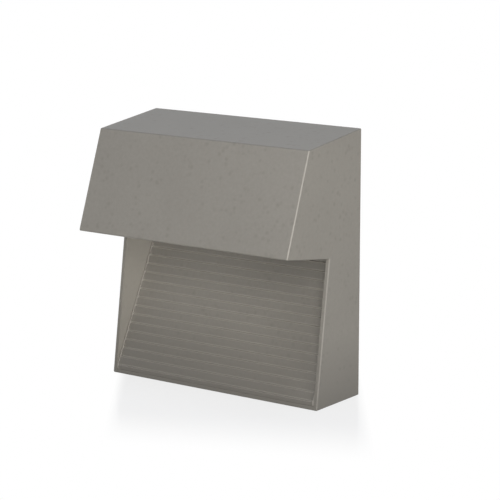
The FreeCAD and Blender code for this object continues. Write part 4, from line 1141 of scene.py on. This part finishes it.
def lead_line(corners, bend, steps=8):
    """Points along straight runs joined by arcs."""
    line = [Vector(corners[0])]
    for before, here, after in zip(corners, corners[1:], corners[2:]):
        before, here, after = Vector(before), Vector(here), Vector(after)
        inward, outward = (here - before).normalized(), (after - here).normalized()
        centre = here - inward * bend + outward * bend
        for step in range(steps + 1):
            angle = math.pi / 2 * step / steps
            arm = inward * math.sin(angle) - outward * math.cos(angle)
            line.append(centre + arm * bend)
    line.append(Vector(corners[-1]))
    return line


def tube(line, radius, sides=20):
    """A round lead along a line, its ends closed, with a map that runs round it."""
    mesh = bmesh.new()
    chart = mesh.loops.layers.uv.new("around")
    rings = []
    across = (line[1] - line[0]).orthogonal().normalized()
    length = 0
    lengths = []
    for i, here in enumerate(line):
        before, after = line[max(i - 1, 0)], line[min(i + 1, len(line) - 1)]
        along = (after - before).normalized()
        across = (across - along * across.dot(along)).normalized()
        upward = along.cross(across)
        length += (here - before).length
        lengths.append(length)
        rings.append([
            mesh.verts.new(here + radius * (across * x + upward * y)) for x, y in circle(sides)
        ])
    for i, (first, second) in enumerate(zip(rings, rings[1:])):
        for k in range(sides):
            j = (k + 1) % sides
            face = mesh.faces.new([first[k], first[j], second[j], second[k]])
            spots = [(k, i), (k + 1, i), (k + 1, i + 1), (k, i + 1)]
            for loop, (turn, ring) in zip(face.loops, spots):
                loop[chart].uv = (turn / sides, lengths[ring] / (2 * math.pi * radius))
    mesh.faces.new(rings[0])
    mesh.faces.new(rings[-1])
    return mesh


def make_leads():
    radius, core = 0.9 * MM, 0.55 * MM
    clamped, soldered = 3.4 * MM, 1.8 * MM
    routes = {}
    for node in ("neutral_lead", "live_lead"):
        low, high = measured(node, HOOD)
        level, across = (low.z + high.z) / 2, high.x - radius
        routes[node] = [
            (low.x, low.y + radius, level), (across, low.y + radius, level),
            (across, high.y - clamped, level), (across, high.y, level), 4.0 * MM,
        ]
    for node in ("led_positive_lead", "led_negative_lead"):
        low, high = measured(node, HOOD)
        place, level, across = (low.y + high.y) / 2, high.z - radius, low.x + radius
        routes[node] = [
            (high.x, place, level), (across, place, level),
            (across, place, low.z + soldered), (across, place, low.z), 3.0 * MM,
        ]
    for node, (start, corner, stripped, end, bend) in routes.items():
        stripped, end = Vector(stripped), Vector(end)
        cover = lead_line([start, corner, stripped], bend)
        # The bare end starts a little way inside the cover
        bare = [stripped - (end - stripped) * 0.2, end]
        add_solid(node + "_cover", tube(cover, radius), [node], placement=HOOD)
        add_solid(node + "_core", tube(bare, core), [node], [BARE_COPPER], HOOD)
    low, high = measured("earth_lead", HOOD)
    middle = (low + high) / 2
    start, stripped, end = (
        Vector((middle.x, y, middle.z)) for y in (low.y, high.y - clamped, high.y)
    )
    cover = [start, (start + stripped) / 2, stripped]
    add_solid("earth_lead_cover", tube(cover, radius), ["earth_lead"], placement=HOOD)
    bare = tube([stripped, end], core)
    add_solid("earth_lead_core", bare, ["earth_lead"], [BARE_COPPER], HOOD)


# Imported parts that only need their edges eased: piece, part, width in mm, segments
EASED_PARTS = (
    ("wall_gasket_sheet", "wall_gasket", 0.15, 2),
    ("flange_nut_pair", "flange_nuts", 0.35, 2),
    ("left_washer_ring", "left_washer", 0.08, 2),
    ("right_washer_ring", "right_washer", 0.08, 2),
    ("lens_window", "lens", 0.25, 3),
    ("lens_gasket_ring", "lens_gasket", 0.2, 2),
    ("lens_frame_plate", "lens_frame", 0.12, 2),
    ("led_board_strip", "led_board", 0.1, 2),
    ("thermal_pad_sheet", "thermal_pad", 0.08, 2),
    ("heat_spreader_plate", "heat_spreader", 0.15, 2),
    ("driver_cover", "driver_case", 0.5, 4),
    ("driver_tray", "driver_base", 0.2, 2),
    ("driver_board", "driver_circuit_board", 0.1, 2),
    ("terminal_body", "terminal_block", 0.35, 3),
    ("terminal_cage_set", "terminal_cages", 0.15, 2),
    ("earth_ring", "earth_ring_terminal", 0.12, 2),
)

make_reflector()
make_all_screws()
make_wall_plate()
make_light_board()
make_driver()
make_leads()
for name, node, width, segments in EASED_PARTS:
    add_solid(name, eased_copy(node, width * MM, segments), [node])

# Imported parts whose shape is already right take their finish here
for name, node in frame["nodes"].items():
    finish = FINISHES[SLOT_OF[name]]
    if node.data.materials:
        for index in range(len(node.data.materials)):
            node.data.materials[index] = finish
    else:
        node.data.materials.append(finish)
